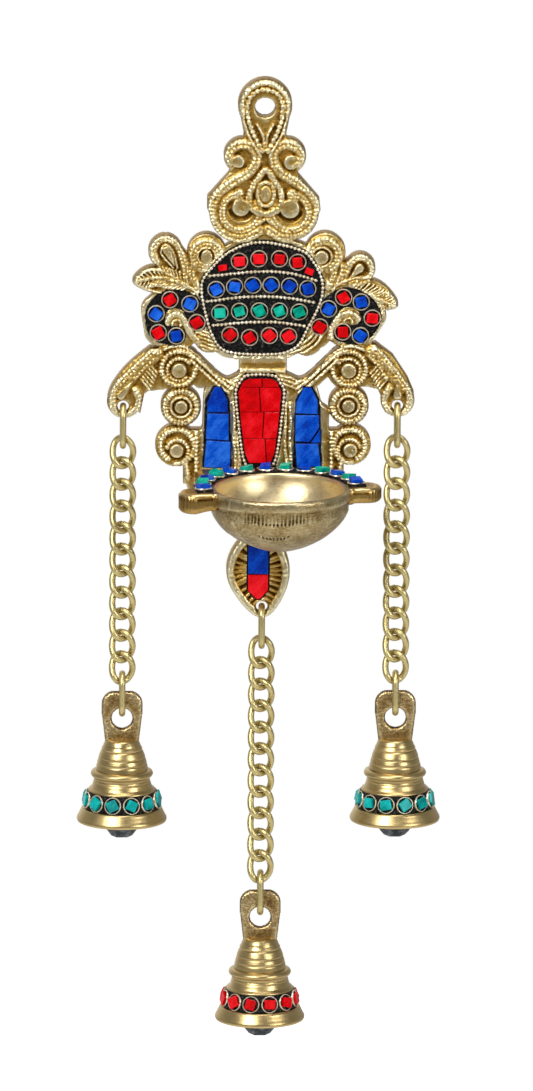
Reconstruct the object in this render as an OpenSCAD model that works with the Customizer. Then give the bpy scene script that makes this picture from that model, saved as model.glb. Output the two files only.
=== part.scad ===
// Wall oil lamp: a cast brass plaque, an oil bowl brazed to its front and three bells on curb chains.
// The origin is the centre of the hanging eye, at the wall. X is to the right and Z is up.
// The wall is the plane Y = 0 and the lamp's front faces -Y. Sizes are in millimetres.

/* [Plaque] */
// Thickness of the cast plaque
plate_t = 6.5; // [6:0.1:8]
// Height of the scroll ridges above the face
relief_h = 1.5; // [1:0.1:2]
// Radius of the hanging eye
eye_r = 9.2; // [8:0.1:11]
// Radius of the hole that takes the wall nail
eye_hole_r = 3.45; // [2.5:0.05:4]
// How far the chain lugs stand in front of the wall
lug_back = 3; // [2.8:0.1:3.2]
// Radius of the rounded chain lugs
lug_r = 5.8; // [5:0.1:6.5]
// Radius of the holes that take the chains
lug_hole_r = 2; // [1.9:0.05:2.2]
// Drop of the tail's chain hole below the hanging eye
tail_drop = 174; // [168:0.5:186]

/* [Inlay] */
// Depth of the recesses that hold the lac
recess_d = 1.6; // [1.2:0.1:2]
// Thickness of the lac under the ringed stones
lac_t = 1.4; // [1:0.1:1.8]
// Thickness of the lac under the flat tiles
tile_lac_t = 0.6; // [0.4:0.1:0.8]
// Thickness of the flat tiles
tile_t = 1.2; // [0.8:0.1:1.4]
// Gap between neighbouring tiles
tile_gap = 0.35; // [0.2:0.05:0.6]
// Outer radius of the wire ring around a stone
ring_r = 2.9; // [2.6:0.05:2.95]
// Wall of the wire ring
ring_wall = 0.4; // [0.3:0.05:0.5]
// Height of the wire ring
ring_h = 1.3; // [1:0.1:1.6]
// Side of a square stone
stone_w = 3.3; // [2.6:0.1:3.4]
// Height of a stone
stone_h = 1.5; // [1.1:0.1:1.9]
// How deep rings and stones sit in the lac
seat_d = 0.5; // [0.3:0.05:0.55]
// Width of the beaded wire
bead_w = 1.1; // [0.8:0.05:1.15]
// Height of the beaded wire
bead_h = 0.9; // [0.6:0.05:1.2]

/* [Oil bowl] */
// Inner radius of the bowl at its rim
bowl_r = 22; // [20:0.5:22.5]
// Wall of the bowl
bowl_wall = 2; // [1.5:0.1:2.2]
// Depth of the bowl outside
bowl_depth = 22; // [18:0.5:26]
// How much the bowl narrows below its rim
bowl_taper = 1.3; // [1.1:0.05:1.5]
// Turn of the bowl to the lamp's left or right
bowl_yaw = 10; // [0:1:12]
// Height of the rim below the hanging eye
bowl_drop = 125.4; // [125.4:0.1:127]
// Thickness of the ledge behind the bowl
ledge_t = 5.5; // [4:0.5:7]
// Length of the two ears beyond the ledge
ear_reach = 35; // [33:0.5:37]
// Half width of an ear
ear_half = 6; // [5:0.5:7]
// Thickness of the lac strip on the ledge
ledge_lac_t = 0.9; // [0.8:0.1:1.4]
// Radius of the arc of ledge stones
ledge_arc_r = 26.4; // [26.2:0.1:26.5]
// Half width of the lac strip on the ledge
ledge_lac_half = 3; // [3:0.05:3.2]
// Gap from the lac strip to the plaque's face
ledge_gap = 0.15; // [0.1:0.05:2]
// Stones on the ledge
ledge_stones = 13; // [9:2:13]

/* [Chains] */
// Thickness of the chain wire
wire_d = 2.2; // [1.8:0.05:2.25]
// Half width of a curb link, to the wire's centre
link_half_w = 3.5; // [3.3:0.1:4]
// Half length of a curb link, to the wire's centre
link_half_l = 4.98; // [4.8:0.02:5.4]
// Depth of the twist that lays the links flat
link_twist = 1.4; // [1.4:0.05:1.7]
// Clearance between neighbouring links
link_gap = 0.2; // [0.15:0.05:0.3]
// Clearance between a connector and a link
connector_gap = 0.6; // [0.6:0.05:0.9]
// Length of a connector between its two end wires
connector_l = 13.9; // [12.5:0.1:15]
// Radius of a connector's ends, to the wire's centre
connector_r = 3.6; // [3.5:0.05:3.7]
// Links in a chain
link_count = 11; // [9:1:12]

/* [Bells] */
// Width of the bell's loop
loop_w = 14; // [12:0.5:15]
// Thickness of the bell's loop
loop_t = 3.4; // [3:0.1:3.6]
// Radius of the hole in the bell's loop
loop_hole_r = 3.55; // [3.2:0.05:3.8]
// Metal over the hole in the loop
loop_bar = 5.8; // [4.5:0.1:6]
// Radius of the bell at its lip
lip_r = 15.4; // [14.4:0.1:17]
// Stones round a bell
bell_stones = 12; // [8:1:12]
// Width of the clapper's bob
bob_w = 12; // [9:0.5:12.5]
// How far the clapper hangs below the lip
bob_drop = 5.6; // [4:0.2:8]
// Clearance of the clapper's eye on its pin
pin_gap = 0.3; // [0.2:0.05:0.35]

/* [Hidden] */
$fn = 72;
fit = 0.05;
brass = [0.76, 0.64, 0.38];
bowl_brass = [0.70, 0.57, 0.31];
chain_brass = [0.68, 0.61, 0.37];
lac = [0.06, 0.06, 0.07];
red = [0.82, 0.03, 0.08];
blue = [0.08, 0.24, 0.72];
green = [0.02, 0.62, 0.52];
iron = [0.33, 0.35, 0.37];

lac_y = plate_t - recess_d + lac_t;
tile_y = plate_t - recess_d + tile_lac_t;
rim_z = -bowl_drop;
bowl_out = (ledge_arc_r + ledge_lac_half + ledge_gap) / cos(bowl_yaw);
ledge_edge = 0.2;
wire_r = wire_d / 2;
chain_y = -(lug_back + plate_t) / 2;
link_pitch = 2 * link_half_l - wire_d - link_gap;

// Chain lugs: left, centre, right. Each is the hole's place on the plaque.
sides = ["left", "center", "right"];
lug_holes = [[-47.9, -104], [-0.3, -tail_drop], [45.6, -103.6]];

// Heights of a chain's parts, measured down from its lug hole
top_wire = 0.1;
first_link = top_wire - connector_l + wire_d + connector_gap - link_half_l;
last_link = first_link - (link_count - 1) * link_pitch;
end_wire_top = last_link - link_half_l + wire_d + connector_gap;
end_wire = end_wire_top - connector_l;

// Heights of a bell's parts, measured down from the top of its loop
loop_top = end_wire + loop_bar + loop_face_gap();
loop_round = 5.2;
// How far round corners stand proud of the straight edges between them
proud = 0.06;
loop_h = 17;
band_top = -34.6;
band_low = -40.6;
lip_z = -45.2;
core_r = 10.8;
band_mid_r = 12.5;
band_tilt = 12;
pin_z = -22.3;
pin_r = 0.8;

// Stones in wire rings on the pot: the rows of the four bands, each as [x, z]
red_pot = [[-8.5, -53.1], [-1.9, -52.2], [5.1, -52.2], [11.3, -53.4],
           [-11.6, -78.7], [-4.9, -79.6], [1.8, -78.9], [8.3, -79.1]];
blue_pot = [for (i = [0:5]) [-16.4 + 6.25 * i, -61.3 - 0.006 * pow(-16.4 + 6.25 * i, 2)]];
green_pot = [for (i = [0:4]) [-15.1 + 6.75 * i, -70.3 - 0.003 * pow(-15.1 + 6.75 * i, 2)]];
// Two red stones without rings fill the corners of the top band
red_corners = [[-14.2, -55.3], [15.3, -56.5]];
corner_w = 2.8;
corner_d = 1.8;

// Stones along the two hooked horns
left_horn_red = [[-22.9, -74.4], [-32.1, -66.5], [-36, -78]];
left_horn_blue = [[-25.3, -67.9], [-36.8, -71.4], [-29.9, -79.1]];
right_horn_red = [[18.9, -75.9], [27, -65.6], [36.8, -72.8], [26.8, -77.6]];
right_horn_blue = [[21.9, -69.6], [33, -67.2], [32.8, -78.9]];
red_ringed = concat(red_pot, left_horn_red, right_horn_red);
blue_ringed = concat(blue_pot, left_horn_blue, right_horn_blue);
ringed = concat(red_ringed, blue_ringed, green_pot);

left_horn = [[-21.2, -77.6], [-22.7, -74.2], [-25.3, -67.9], [-32.1, -66.4], [-36.9, -70.8], [-35.8, -77.8],
             [-30, -79.2], [-27.6, -78.6]];
right_horn = [[17.9, -78.6], [18.9, -75], [21.9, -69.6], [27, -65.8], [33, -67], [36.6, -72.4],
              [32.8, -78.3], [26.8, -78], [24.8, -76.6]];

// Bead border of the pot, and the dividers between its bands
pot_edge = [[-1, -46.8], [-11.6, -50], [-19.6, -58], [-21, -63], [-19.9, -70], [-17.8, -77.6], [-14.6, -83],
            [-9.9, -84.7], [-1, -85.2], [6.8, -84.6], [11.6, -81.8], [14.6, -76], [17.8, -69.6],
            [19.4, -64.4], [19.2, -59.4], [16.6, -53.9], [12.2, -49.6]];
dividers = [[[-18.2, -58.2], [-8.6, -57.2], [0, -56.6], [8.6, -57.2], [17, -59.6]],
            [[-19, -67], [-9, -65.7], [0, -65.3], [8, -65.8], [16.2, -67.2]],
            [[-16.8, -75.3], [-8, -74.5], [0, -74.2], [6, -74.4], [13, -75.4]]];

// Half width of the long red panel and of the blue panels, by height
red_panel = [[-94, 5.2], [-98.7, 7.3], [-109, 6.4], [-120, 5], [-123.6, 3.6]];
red_mid = -1.3;
blue_panel = [[-97, 1.2], [-101.5, 3.9], [-125, 4.7]];
blue_mids = [-15.8, 15];
red_rows = [-94, -96.6, -105.7, -115.2, -123.6];
blue_rows = [-97, -106, -115.8, -125];

// Tail leaf from its top down past its chain hole, with an inlaid panel that ends above the hole
tail_top = -146;
tail_mid = -1.6;
tail_web = 1;
tail_half = 3.4;
tail_point = 3;
tail_panel_top = tail_top - 6.6;
tail_tip = -tail_drop + lug_hole_r + tail_web;
tail_split = (tail_panel_top + tail_tip) / 2 - 0.6;

// Scroll discs beside the panels as [x, z, outer radius, eye radius]
scrolls = [[-28.9, -90.7, 7.5, 2.7], [-28.2, -104, 6.9, 2.3], [-29.6, -117.6, 7.3, 2.5],
           [28.9, -90.7, 7.5, 2.7], [28.9, -103.6, 6.9, 2.3], [29.6, -117.3, 7, 2.5]];
// Curled petals beside the pot, and the crest's volutes, in the same form
petals = [[-19.7, -50.4, 6.6, 2], [-33.7, -50, 5.8, 1.6], [20.6, -50.4, 7, 2.4], [32.6, -55.7, 5.2, 1.5]];
volutes = [[-8.2, -36.4, 10.6, 2.8], [8.8, -36.4, 9.6, 3.2]];
curls = [[-7.8, -16.8, 6.2, 2], [7.8, -16.8, 6.2, 2.2]];

left_leaf = [[-22, -64.6], [-28, -59.6], [-36, -55.4], [-41.6, -56.4], [-44.9, -60.6], [-40, -63.8],
             [-31, -65.6]];
right_leaf = [[24, -63.6], [31, -59.6], [38.5, -60.2], [43.6, -64.4], [45.6, -69], [40, -70.4],
              [32.5, -68.4]];
function tail_at(share) = tail_top - (tail_top + tail_drop) * share;
tail = [[-1.6, tail_top], [-8.6, tail_at(0.193)], [-12.2, tail_at(0.45)], [-11.8, tail_at(0.693)],
        [-8, tail_at(0.929)], [-3.6, tail_at(1.093)], [-0.4, tail_at(1.132)], [2.8, tail_at(1.093)],
        [6.2, tail_at(0.929)], [8.8, tail_at(0.693)], [8.9, tail_at(0.45)], [5.6, tail_at(0.193)]];
left_strap = [[-8.6, -12.2], [-2.6, -13.6], [-2.2, -17.6], [-8.6, -22], [-15.4, -26.2], [-18, -31.6],
              [-17.4, -37]];
right_strap = [for (p = left_strap) [-p[0], p[1]]];

function unit(v) = v / norm(v);
function loop_face_gap() =
    connector_r - sqrt(pow(connector_r - wire_r, 2) - pow(loop_t / 2, 2)) + link_gap;

// Smooth curve through points: open or closed, with n steps from one point to the next
function curve(a, b, c, d, t) =
    (2 * b + (c - a) * t + (2 * a - 5 * b + 4 * c - d) * t * t + (3 * b - a - 3 * c + d) * t * t * t) / 2;
function open_curve(p, n = 5) = let (e = len(p) - 1)
    [for (i = [0:e - 1], j = [0:i == e - 1 ? n : n - 1])
        curve(p[max(i - 1, 0)], p[i], p[i + 1], p[min(i + 2, e)], j / n)];
function closed_curve(p, n = 4) = let (e = len(p))
    [for (i = [0:e - 1], j = [0:n - 1])
        curve(p[(i + e - 1) % e], p[i], p[(i + 1) % e], p[(i + 2) % e], j / n)];

// Points beside a curve at distance w, and the strip of half width w along it
function heading(p, i) = unit(p[min(i + 1, len(p) - 1)] - p[max(i - 1, 0)]);
function beside(p, w) = [for (i = [0:len(p) - 1]) p[i] + w * [-heading(p, i)[1], heading(p, i)[0]]];
function strip(p, w) = let (l = beside(p, w), r = beside(p, -w), e = len(p) - 1)
    concat(l, [for (i = [0:e]) r[e - i]]);

// Closed outline pushed out by w from its points' middle line
function grown(p, w) = let (e = len(p))
    [for (i = [0:e - 1]) let (d = unit(p[(i + 1) % e] - p[(i + e - 1) % e])) p[i] + w * [-d[1], d[0]]];

// Outline of a panel given as heights and half widths, wider by w
function panel(p, x, w) = let (e = len(p) - 1)
    concat([for (q = p) [x + q[1] + w, q[0] + (q == p[0] ? w : q == p[e] ? -w : 0)]],
           [for (i = [0:e]) let (q = p[e - i]) [x - q[1] - w, q[0] + (i == e ? w : i == 0 ? -w : 0)]]);

// Flat shape in the X-Z plane made solid between two depths in front of the wall
module slab(near, far) {
    translate([0, -near, 0]) rotate([90, 0, 0]) linear_extrude(far - near) children();
}

// Flat band of half width w along straight steps, with round ends and corners that stand a little proud
module stroke(p, w) {
    bar = w - 0.12;
    for (q = p) translate(q) circle(r = w);
    for (i = [0:len(p) - 2]) let (d = p[i + 1] - p[i])
        translate(p[i]) rotate(atan2(d[1], d[0])) translate([0, -bar]) square([norm(d), 2 * bar]);
}

module ring_shape(outer, inner) {
    difference() {
        circle(r = outer);
        circle(r = inner);
    }
}

module crest_outline() {
    translate([0, 0.7]) circle(r = eye_r);
    polygon([[-8.4, -3], [8.4, -3], [7.2, -9], [7.8, -13], [-7.8, -13], [-7.2, -9]]);
    polygon([[-7.8, -12], [7.8, -12], [11.4, -23.2], [18.6, -31.6], [19, -35.4], [16, -43], [4, -47],
             [-4, -47], [-16, -43], [-19.6, -35], [-19.5, -31], [-12.3, -22.8]]);
    for (v = concat(curls, volutes)) translate([v[0], v[1]]) circle(r = v[2]);
}

module spray_outline() {
    for (v = petals) translate([v[0], v[1]]) circle(r = v[2]);
    polygon([[-38.6, -52.8], [-28.4, -48], [-24, -54], [-14, -56], [-18, -66], [-26, -66]]);
    polygon([[36.6, -58.8], [30.4, -51.2], [26, -54], [14, -56], [18, -66], [27, -66]]);
    polygon(closed_curve(left_leaf));
    polygon(closed_curve(right_leaf));
}

module pot_outline() {
    polygon(grown(closed_curve(pot_edge), -2.6));
    stroke(left_horn, 5);
    stroke(right_horn, 5);
    polygon([[-33, -70], [-27, -70], [-24, -76], [-27, -82], [-33, -77]]);
    polygon([[33, -70], [27, -69], [22, -76], [26, -80], [33, -76]]);
    translate([-18.5, -79.8]) circle(r = 5.4);
    translate([14.6, -80.6]) circle(r = 5.6);
}

module body_outline() {
    polygon([[-8.5, -83], [7.8, -83], [7.8, -92.4], [12.4, -94.6], [17.4, -95.2], [18.9, -100],
             [19.7, -103.2], [22.4, -105], [22, -126],
             [27.2, -127.5], [25.5, -134], [17, -141], [16.4, -147.6], [8, -150], [-8, -150],
             [-16.6, -140.6], [-25.5, -134], [-27.2, -127.5], [-22, -126], [-22, -113.5], [-20.9, -111],
             [-20.7, -103],
             [-20.4, -98.5], [-18.8, -95.2],
             [-12.6, -94.6], [-8.5, -92.4]]);
    for (v = scrolls) translate([v[0], v[1]]) circle(r = v[2]);
    for (m = [-1, 1]) {
        polygon(strip(open_curve([for (p = [[29, -84.4], [25.5, -86.3], [20.6, -91.2], [15.4, -95.8],
        [11.5, -97]])
                                  [m * p[0], p[1]]]), 2.6));
        translate([m * 24.4, -121.5]) square([6, 19], center = true);
    }
    translate([-21.6, -95]) circle(r = 2.6);
    polygon(closed_curve(tail));
}

module lug_outline() {
    polygon([[-31, -83], [-39.1, -83.4], [-46.5, -89.5], [-50.8, -96.6], [-53.2, -100.5], [-42, -106.3],
             [-40.7, -99.6], [-39.2, -98.5], [-35, -98.2], [-28, -97]]);
    polygon([[31, -82.4], [38.2, -81.8], [43.9, -86.2], [49, -94], [51.2, -99.2], [41.4, -106.2],
             [40, -100.4], [38.8, -97.8], [35.6, -97], [28, -97]]);
    translate([-47.6, -102.2]) circle(r = lug_r);
    translate([45.6, -101.6]) circle(r = lug_r);
}

module ridges() {
    ring_shape(eye_r - 2.2, eye_r - 3.6);
    polygon(strip(open_curve(left_strap), 1.4));
    polygon(strip(open_curve(right_strap), 1.4));
    for (v = concat(curls, petals, scrolls, volutes)) {
        translate([v[0], v[1]]) ring_shape(v[2] - 0.7, v[2] - 2.3);
        translate([v[0], v[1]]) circle(r = v[3]);
    }
    for (v = volutes) translate([v[0], v[1]]) ring_shape(6.6, 5);
    polygon(strip(open_curve([[-24, -63.8], [-32, -60.4], [-38, -59.2], [-43.6, -60.4]]), 0.7));
    polygon(strip(open_curve([[26, -63.2], [33, -63.6], [39, -65.6], [44, -68.2]]), 0.7));
    for (p = [[-29.4, -73.4], [28, -72.6]]) translate(p) ring_shape(2.4, 1.2);
    for (x = [-21.6, -10.4, 8, 20.4]) translate([x - 0.5, -122]) square([0.9, 22]);
}

module lac_outline() {
    polygon(grown(closed_curve(pot_edge), -1.2));
    stroke(left_horn, 3.7);
    stroke(right_horn, 3.7);
}

module tile_outline() {
    polygon(panel(red_panel, red_mid, 1.7));
    for (x = blue_mids) polygon(panel(blue_panel, x, 0.2));
    translate([tail_mid, 0]) polygon(tail_shape(0.4));
}

function tail_shape(w) = [
    [-tail_half - w, tail_panel_top + w], [tail_half + w, tail_panel_top + w],
    [tail_half + w, tail_tip + tail_point],
    [0.6, tail_tip - w], [-0.6, tail_tip - w], [-tail_half - w, tail_tip + tail_point]];

module back_plate() {
    color(brass) difference() {
        union() {
            slab(0, plate_t) union() {
                crest_outline();
                spray_outline();
                pot_outline();
                body_outline();
                lug_outline();
            }
            slab(plate_t - 0.5, plate_t + relief_h) ridges();
        }
        slab(-1, plate_t + relief_h + 1) circle(r = eye_hole_r);
        slab(plate_t - recess_d, plate_t + relief_h + 1) union() {
            lac_outline();
            tile_outline();
        }
        for (h = lug_holes) {
            slab(-1, plate_t + 1) translate(h) circle(r = lug_hole_r);
            slab(-1, lug_back) translate(h) circle(r = lug_hole_r + 4.5);
        }
    }
}

module lac_beds() {
    color(lac) difference() {
        slab(plate_t - recess_d, lac_y) lac_outline();
        for (p = ringed) slab(lac_y - seat_d, lac_y + 1) translate(p) circle(r = ring_r + fit);
    }
    color(lac) slab(plate_t - recess_d, tile_y) tile_outline();
}

module bead_wires() {
    color(brass) {
        slab(lac_y, lac_y + bead_h) difference() {
            polygon(grown(closed_curve(pot_edge), -bead_w / 2));
            polygon(grown(closed_curve(pot_edge), bead_w / 2));
        }
        for (p = dividers) slab(lac_y, lac_y + bead_h) polygon(strip(open_curve(p), bead_w / 2));
        slab(tile_y, tile_y + bead_h) difference() {
            polygon(panel(red_panel, red_mid, 1.5));
            polygon(panel(red_panel, red_mid, 1.5 - bead_w));
        }
    }
}

// Ring and stone of one setting, standing along +Z from the floor of its seat
module wire_ring() {
    linear_extrude(ring_h) ring_shape(ring_r, ring_r - ring_wall);
}

module stone(turn) {
    rotate([0, 0, turn]) translate([-stone_w / 2, -stone_w / 2, 0]) cube([stone_w, stone_w, stone_h]);
}

// Places children on the plaque's lac, in the seats at points p
module on_lac(p) {
    for (i = [0:len(p) - 1])
        translate([p[i][0], -(lac_y - seat_d), p[i][1]]) rotate([90, 0, 0]) rotate([0, 0,
            37 * i % 90]) children();
}

// Places children round the bowl's ledge, from stone number first on by steps
module on_ledge(first, steps) {
    translate([0, -plate_t, rim_z]) rotate([0, 0, bowl_yaw]) translate([0, -bowl_out, ledge_lac_t - seat_d])
        for (i = [first:steps:ledge_stones - 1])
            rotate([0, 0, 1.5 + 177 * i / (ledge_stones - 1)]) translate([ledge_arc_r, 0, 0])
                rotate([0, 0, 29 * i % 90]) children();
}

module bezel_rings() {
    color(brass) {
        on_lac(ringed) wire_ring();
        on_ledge(0, 1) wire_ring();
    }
}

// Tiles of a panel between the heights in rows, split into columns at the offsets in cuts
module tiles(p, x, rows, cuts) {
    for (r = [0:len(rows) - 2], c = [0:len(cuts) - 2])
        slab(tile_y, tile_y + tile_t) intersection() {
            polygon(panel(p, x, 0));
            translate([x + cuts[c] + tile_gap / 2, rows[r + 1] + tile_gap / 2])
                square([cuts[c + 1] - cuts[c] - tile_gap, rows[r] - rows[r + 1] - tile_gap]);
        }
}

module red_stones() {
    color(red) {
        on_lac(red_ringed) stone(20);
        for (p = red_corners)
            translate([p[0] - corner_w / 2, -lac_y, p[1] - corner_d / 2]) rotate([90, 0, 0])
                cube([corner_w, corner_d, stone_h - seat_d]);
        tiles(red_panel, red_mid, red_rows, [-9, 0.8, 9]);
        slab(tile_y, tile_y + tile_t) translate([tail_mid, 0]) intersection() {
            polygon(tail_shape(0));
            translate([-5, tail_tip - 1]) square([10, tail_split - tail_tip + 1]);
        }
    }
}

module blue_stones() {
    color(blue) {
        on_lac(blue_ringed) stone(8);
        on_ledge(0, 2) stone(11);
        for (x = blue_mids) tiles(blue_panel, x, blue_rows, [-6, 6]);
        slab(tile_y, tile_y + tile_t) translate([tail_mid, 0]) intersection() {
            polygon(tail_shape(0));
            translate([-5, tail_split + tile_gap]) square([10, tail_panel_top - tail_split]);
        }
    }
}

module green_stones() {
    color(green) {
        on_lac(green_pot) stone(14);
        on_ledge(1, 2) stone(3);
    }
}

// Ledge with its ears, seen from above, with the bowl's centre at the origin
module ledge_shape() {
    intersection() {
        circle(r = bowl_out - ledge_edge);
        translate([-50, 0]) square([100, 50]);
    }
    for (m = [-1, 1]) translate([m * (ear_reach - ear_half), 0]) circle(r = ear_half);
    translate([-ear_reach + ear_half, -ear_half]) square([2 * (ear_reach - ear_half), 2 * ear_half]);
    translate([-23, 0]) square([46, bowl_out + 6]);
}

module oil_bowl() {
    shell_r = bowl_r + bowl_wall;
    color(bowl_brass) difference() {
        translate([0, -plate_t, rim_z]) rotate([0, 0, bowl_yaw]) translate([0, -bowl_out, 0]) difference() {
            union() {
                rotate_extrude() polygon(concat(
                    [[0, 0], [shell_r, 0], [shell_r + 0.3, -0.6], [shell_r + 0.3, -2.8],
                    [shell_r - 0.3, -3.4]],
                    [for (a = [10:10:80])
                    [shell_r * pow(cos(a), bowl_taper), -3.4 - (bowl_depth - 3.4) * sin(a)]],
                    [[0, -bowl_depth]]));
                translate([0, 0, -ledge_t]) linear_extrude(ledge_t) ledge_shape();
            }
            rotate_extrude() polygon(concat(
                [[0, 1], [bowl_r, 1]],
                [for (a = [0:10:80]) [bowl_r * pow(cos(a), bowl_taper), -(bowl_depth - bowl_wall) * sin(a)]],
                [[0, -(bowl_depth - bowl_wall)]]));
        }
        translate([-60, -plate_t, rim_z - 30]) cube([120, 30, 60]);
    }
}

module ledge_lac() {
    color(lac) difference() {
        translate([0, -plate_t, rim_z]) rotate([0, 0, bowl_yaw]) translate([0, -bowl_out, 0])
            rotate([0, 0, -6]) rotate_extrude(angle = 192)
                translate([ledge_arc_r - ledge_lac_half, 0]) square([2 * ledge_lac_half, ledge_lac_t]);
        on_ledge(0, 1) cylinder(r = ring_r + fit, h = 5);
    }
}

// Plain oval connector in the Y-Z plane, with the top wire's centre at the origin
module connector() {
    half = connector_l / 2 - connector_r;
    translate([0, 0, -connector_l / 2]) {
        for (m = [0, 180])
            rotate([m, 0, 0]) translate([0, 0, half]) rotate([90, 0, 90])
                rotate_extrude(angle = 180) translate([connector_r, 0]) circle(r = wire_r);
        for (m = [-1, 1]) translate([0, m * connector_r, -half]) cylinder(r = wire_r, h = 2 * half);
    }
}

// Curb link: an oval whose upper right and lower left strands come forward
link_steps = 24;
link_facets = 8;
function link_at(t) = [link_half_w * cos(t), -link_twist * sin(2 * t), link_half_l * sin(t)];
function link_way(t) = unit([-link_half_w * sin(t), -2 * link_twist * cos(2 * t), link_half_l * cos(t)]);
function link_skin(t, u) = let (p = link_at(t), d = link_way(t), n = unit(p - (p * d) * d), b = cross(d, n))
    p + wire_r * (cos(u) * n + sin(u) * b);
function link_corner(i, j) = (i % link_steps) * link_facets + j % link_facets;

module curb_link() {
    polyhedron(
        points = [for (i = [0:link_steps - 1], j = [0:link_facets - 1])
            link_skin(360 * i / link_steps, 360 * j / link_facets)],
        faces = [for (i = [0:link_steps - 1], j = [0:link_facets - 1], half = [0, 1])
            half == 0 ? [link_corner(i, j), link_corner(i, j + 1), link_corner(i + 1, j)]
                      : [link_corner(i + 1, j), link_corner(i, j + 1), link_corner(i + 1, j + 1)]]);
}

// Places children in a chain's line, at a height measured from its lug hole
module on_chain(side, z) {
    translate([lug_holes[side][0], chain_y, lug_holes[side][1] + z]) children();
}

module top_link(side) {
    color(chain_brass) on_chain(side, top_wire) connector();
}

module chain_link(side, k) {
    color(chain_brass) on_chain(side, first_link - (k - 1) * link_pitch) curb_link();
}

module bottom_link(side) {
    color(chain_brass) on_chain(side, end_wire_top) connector();
}

module bell_body() {
    difference() {
        union() {
            rotate_extrude() polygon([
                [0, -16.6], [5.2, -16.8], [5.6, -17.4], [6.6, -20], [7.6, -23], [8.7, -26.2], [9.9, -26.6],
                [10.6, -27.3], [10.7, -27.9], [10.4, -28.6], [9.5, -29.2], [9.6, -31], [10.2, -31.3],
                [10.2, -32.3],
                [10, -32.6], [10.4, -33.4], [11.5, -33.8], [11.5, band_top], [core_r, band_top],
                [core_r, band_low],
                [13.5, band_low], [14, -41.4], [lip_r - 0.4, -43.4], [lip_r, -44.3], [lip_r - 0.2, lip_z],
                [0, lip_z]]);
            translate([0, loop_t / 2, 0]) rotate([90, 0, 0]) linear_extrude(loop_t) union() {
                polygon([[-loop_w / 2, -loop_w / 2], [loop_w / 2, -loop_w / 2], [5.6, -loop_h],
                [-5.6, -loop_h]]);
                for (m = [-1, 1])
                    translate([m * (loop_w / 2 - loop_round), -loop_round]) circle(r = loop_round);
                translate([-loop_w / 2 + proud, -loop_w / 2 - 1])
                    square([loop_w - 2 * proud, loop_w / 2 + 1 - loop_round]);
                translate([-loop_w / 2 + loop_round, -loop_w / 2])
                    square([loop_w - 2 * loop_round, loop_w / 2 - proud]);
            }
        }
        rotate_extrude() polygon([
            [0, -19.6], [3.6, -20], [5.4, -21.8], [6.4, -24.5], [7.4, -28], [8.4, -32], [9.2, -36.5],
            [9.6, -39.5],
            [11.2, -41.6], [lip_r - 1.5, lip_z], [lip_r - 1.5, lip_z - 1], [0, lip_z - 1]]);
        translate([0, loop_t, -loop_bar - loop_hole_r]) rotate([90, 0, 0]) cylinder(r = loop_hole_r,
            h = 2 * loop_t);
    }
    translate([0, 6.4, pin_z]) rotate([90, 0, 0]) cylinder(r = pin_r, h = 12.8);
}

// Places children round a bell's band, in the seats of its stones
module on_band() {
    for (i = [0:bell_stones - 1])
        rotate([0, 0, 360 * (i + 0.5) / bell_stones]) translate([band_mid_r, 0, (band_top + band_low) / 2])
            rotate([0, 90 - band_tilt, 0]) translate([0, 0, -0.75]) children();
}

module bell(side) {
    color(brass) on_chain(side, loop_top) bell_body();
}

module bell_lac(side) {
    slope = (band_top - band_low) / 2 * tan(band_tilt);
    color(lac) on_chain(side, loop_top) difference() {
        rotate_extrude() polygon([
            [core_r + fit, band_top - fit], [band_mid_r - slope, band_top - fit],
            [band_mid_r + slope, band_low], [core_r + fit, band_low]]);
        on_band() cylinder(r = ring_r + fit, h = 5);
    }
}

// Stones of a bell in their wire rings
module bell_settings(side) {
    color(brass) on_chain(side, loop_top) on_band() wire_ring();
    color(side == 1 ? red : green) on_chain(side, loop_top) on_band() stone(0);
}

module clapper(side) {
    eye_hole = pin_r + pin_gap;
    low = lip_z - bob_drop;
    bob_r = bob_w / 2;
    color(iron) on_chain(side, loop_top) {
        difference() {
            union() {
                translate([0, 0.9, pin_z]) rotate([90, 0, 0]) cylinder(r = eye_hole + 1.2, h = 1.8);
                translate([0, 0, low + 9]) cylinder(r = 0.85, h = pin_z - eye_hole - 0.6 - low - 9);
            }
            translate([0, 2, pin_z]) rotate([90, 0, 0]) cylinder(r = eye_hole, h = 4);
        }
        intersection() {
            translate([0, 0, low]) linear_extrude(15) circle(r = bob_r, $fn = 6);
            rotate_extrude() polygon([[0, low + 14], [2.2, low + 13.6], [bob_r + 0.1, low + 8.4],
                                      [bob_r + 0.1, low + 3], [bob_r - 2.4, low], [0, low]]);
        }
    }
}

function link_name(k) = str("link_", k < 10 ? "0" : "", k);

back_plate();
oil_bowl();
lac_beds();
ledge_lac();
bead_wires();
bezel_rings();
red_stones();
blue_stones();
green_stones();
for (s = [0:2]) {
    top_link(s);
    for (k = [1:link_count]) chain_link(s, k);
    bottom_link(s);
    bell(s);
    bell_lac(s);
    bell_settings(s);
    clapper(s);
}
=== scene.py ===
"""Looks of a wall oil lamp: a cast brass plaque with inlay, an oil bowl, and three bells on curb chains."""
import math

import bpy
import numpy as np
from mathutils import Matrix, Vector, geometry, kdtree


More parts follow.
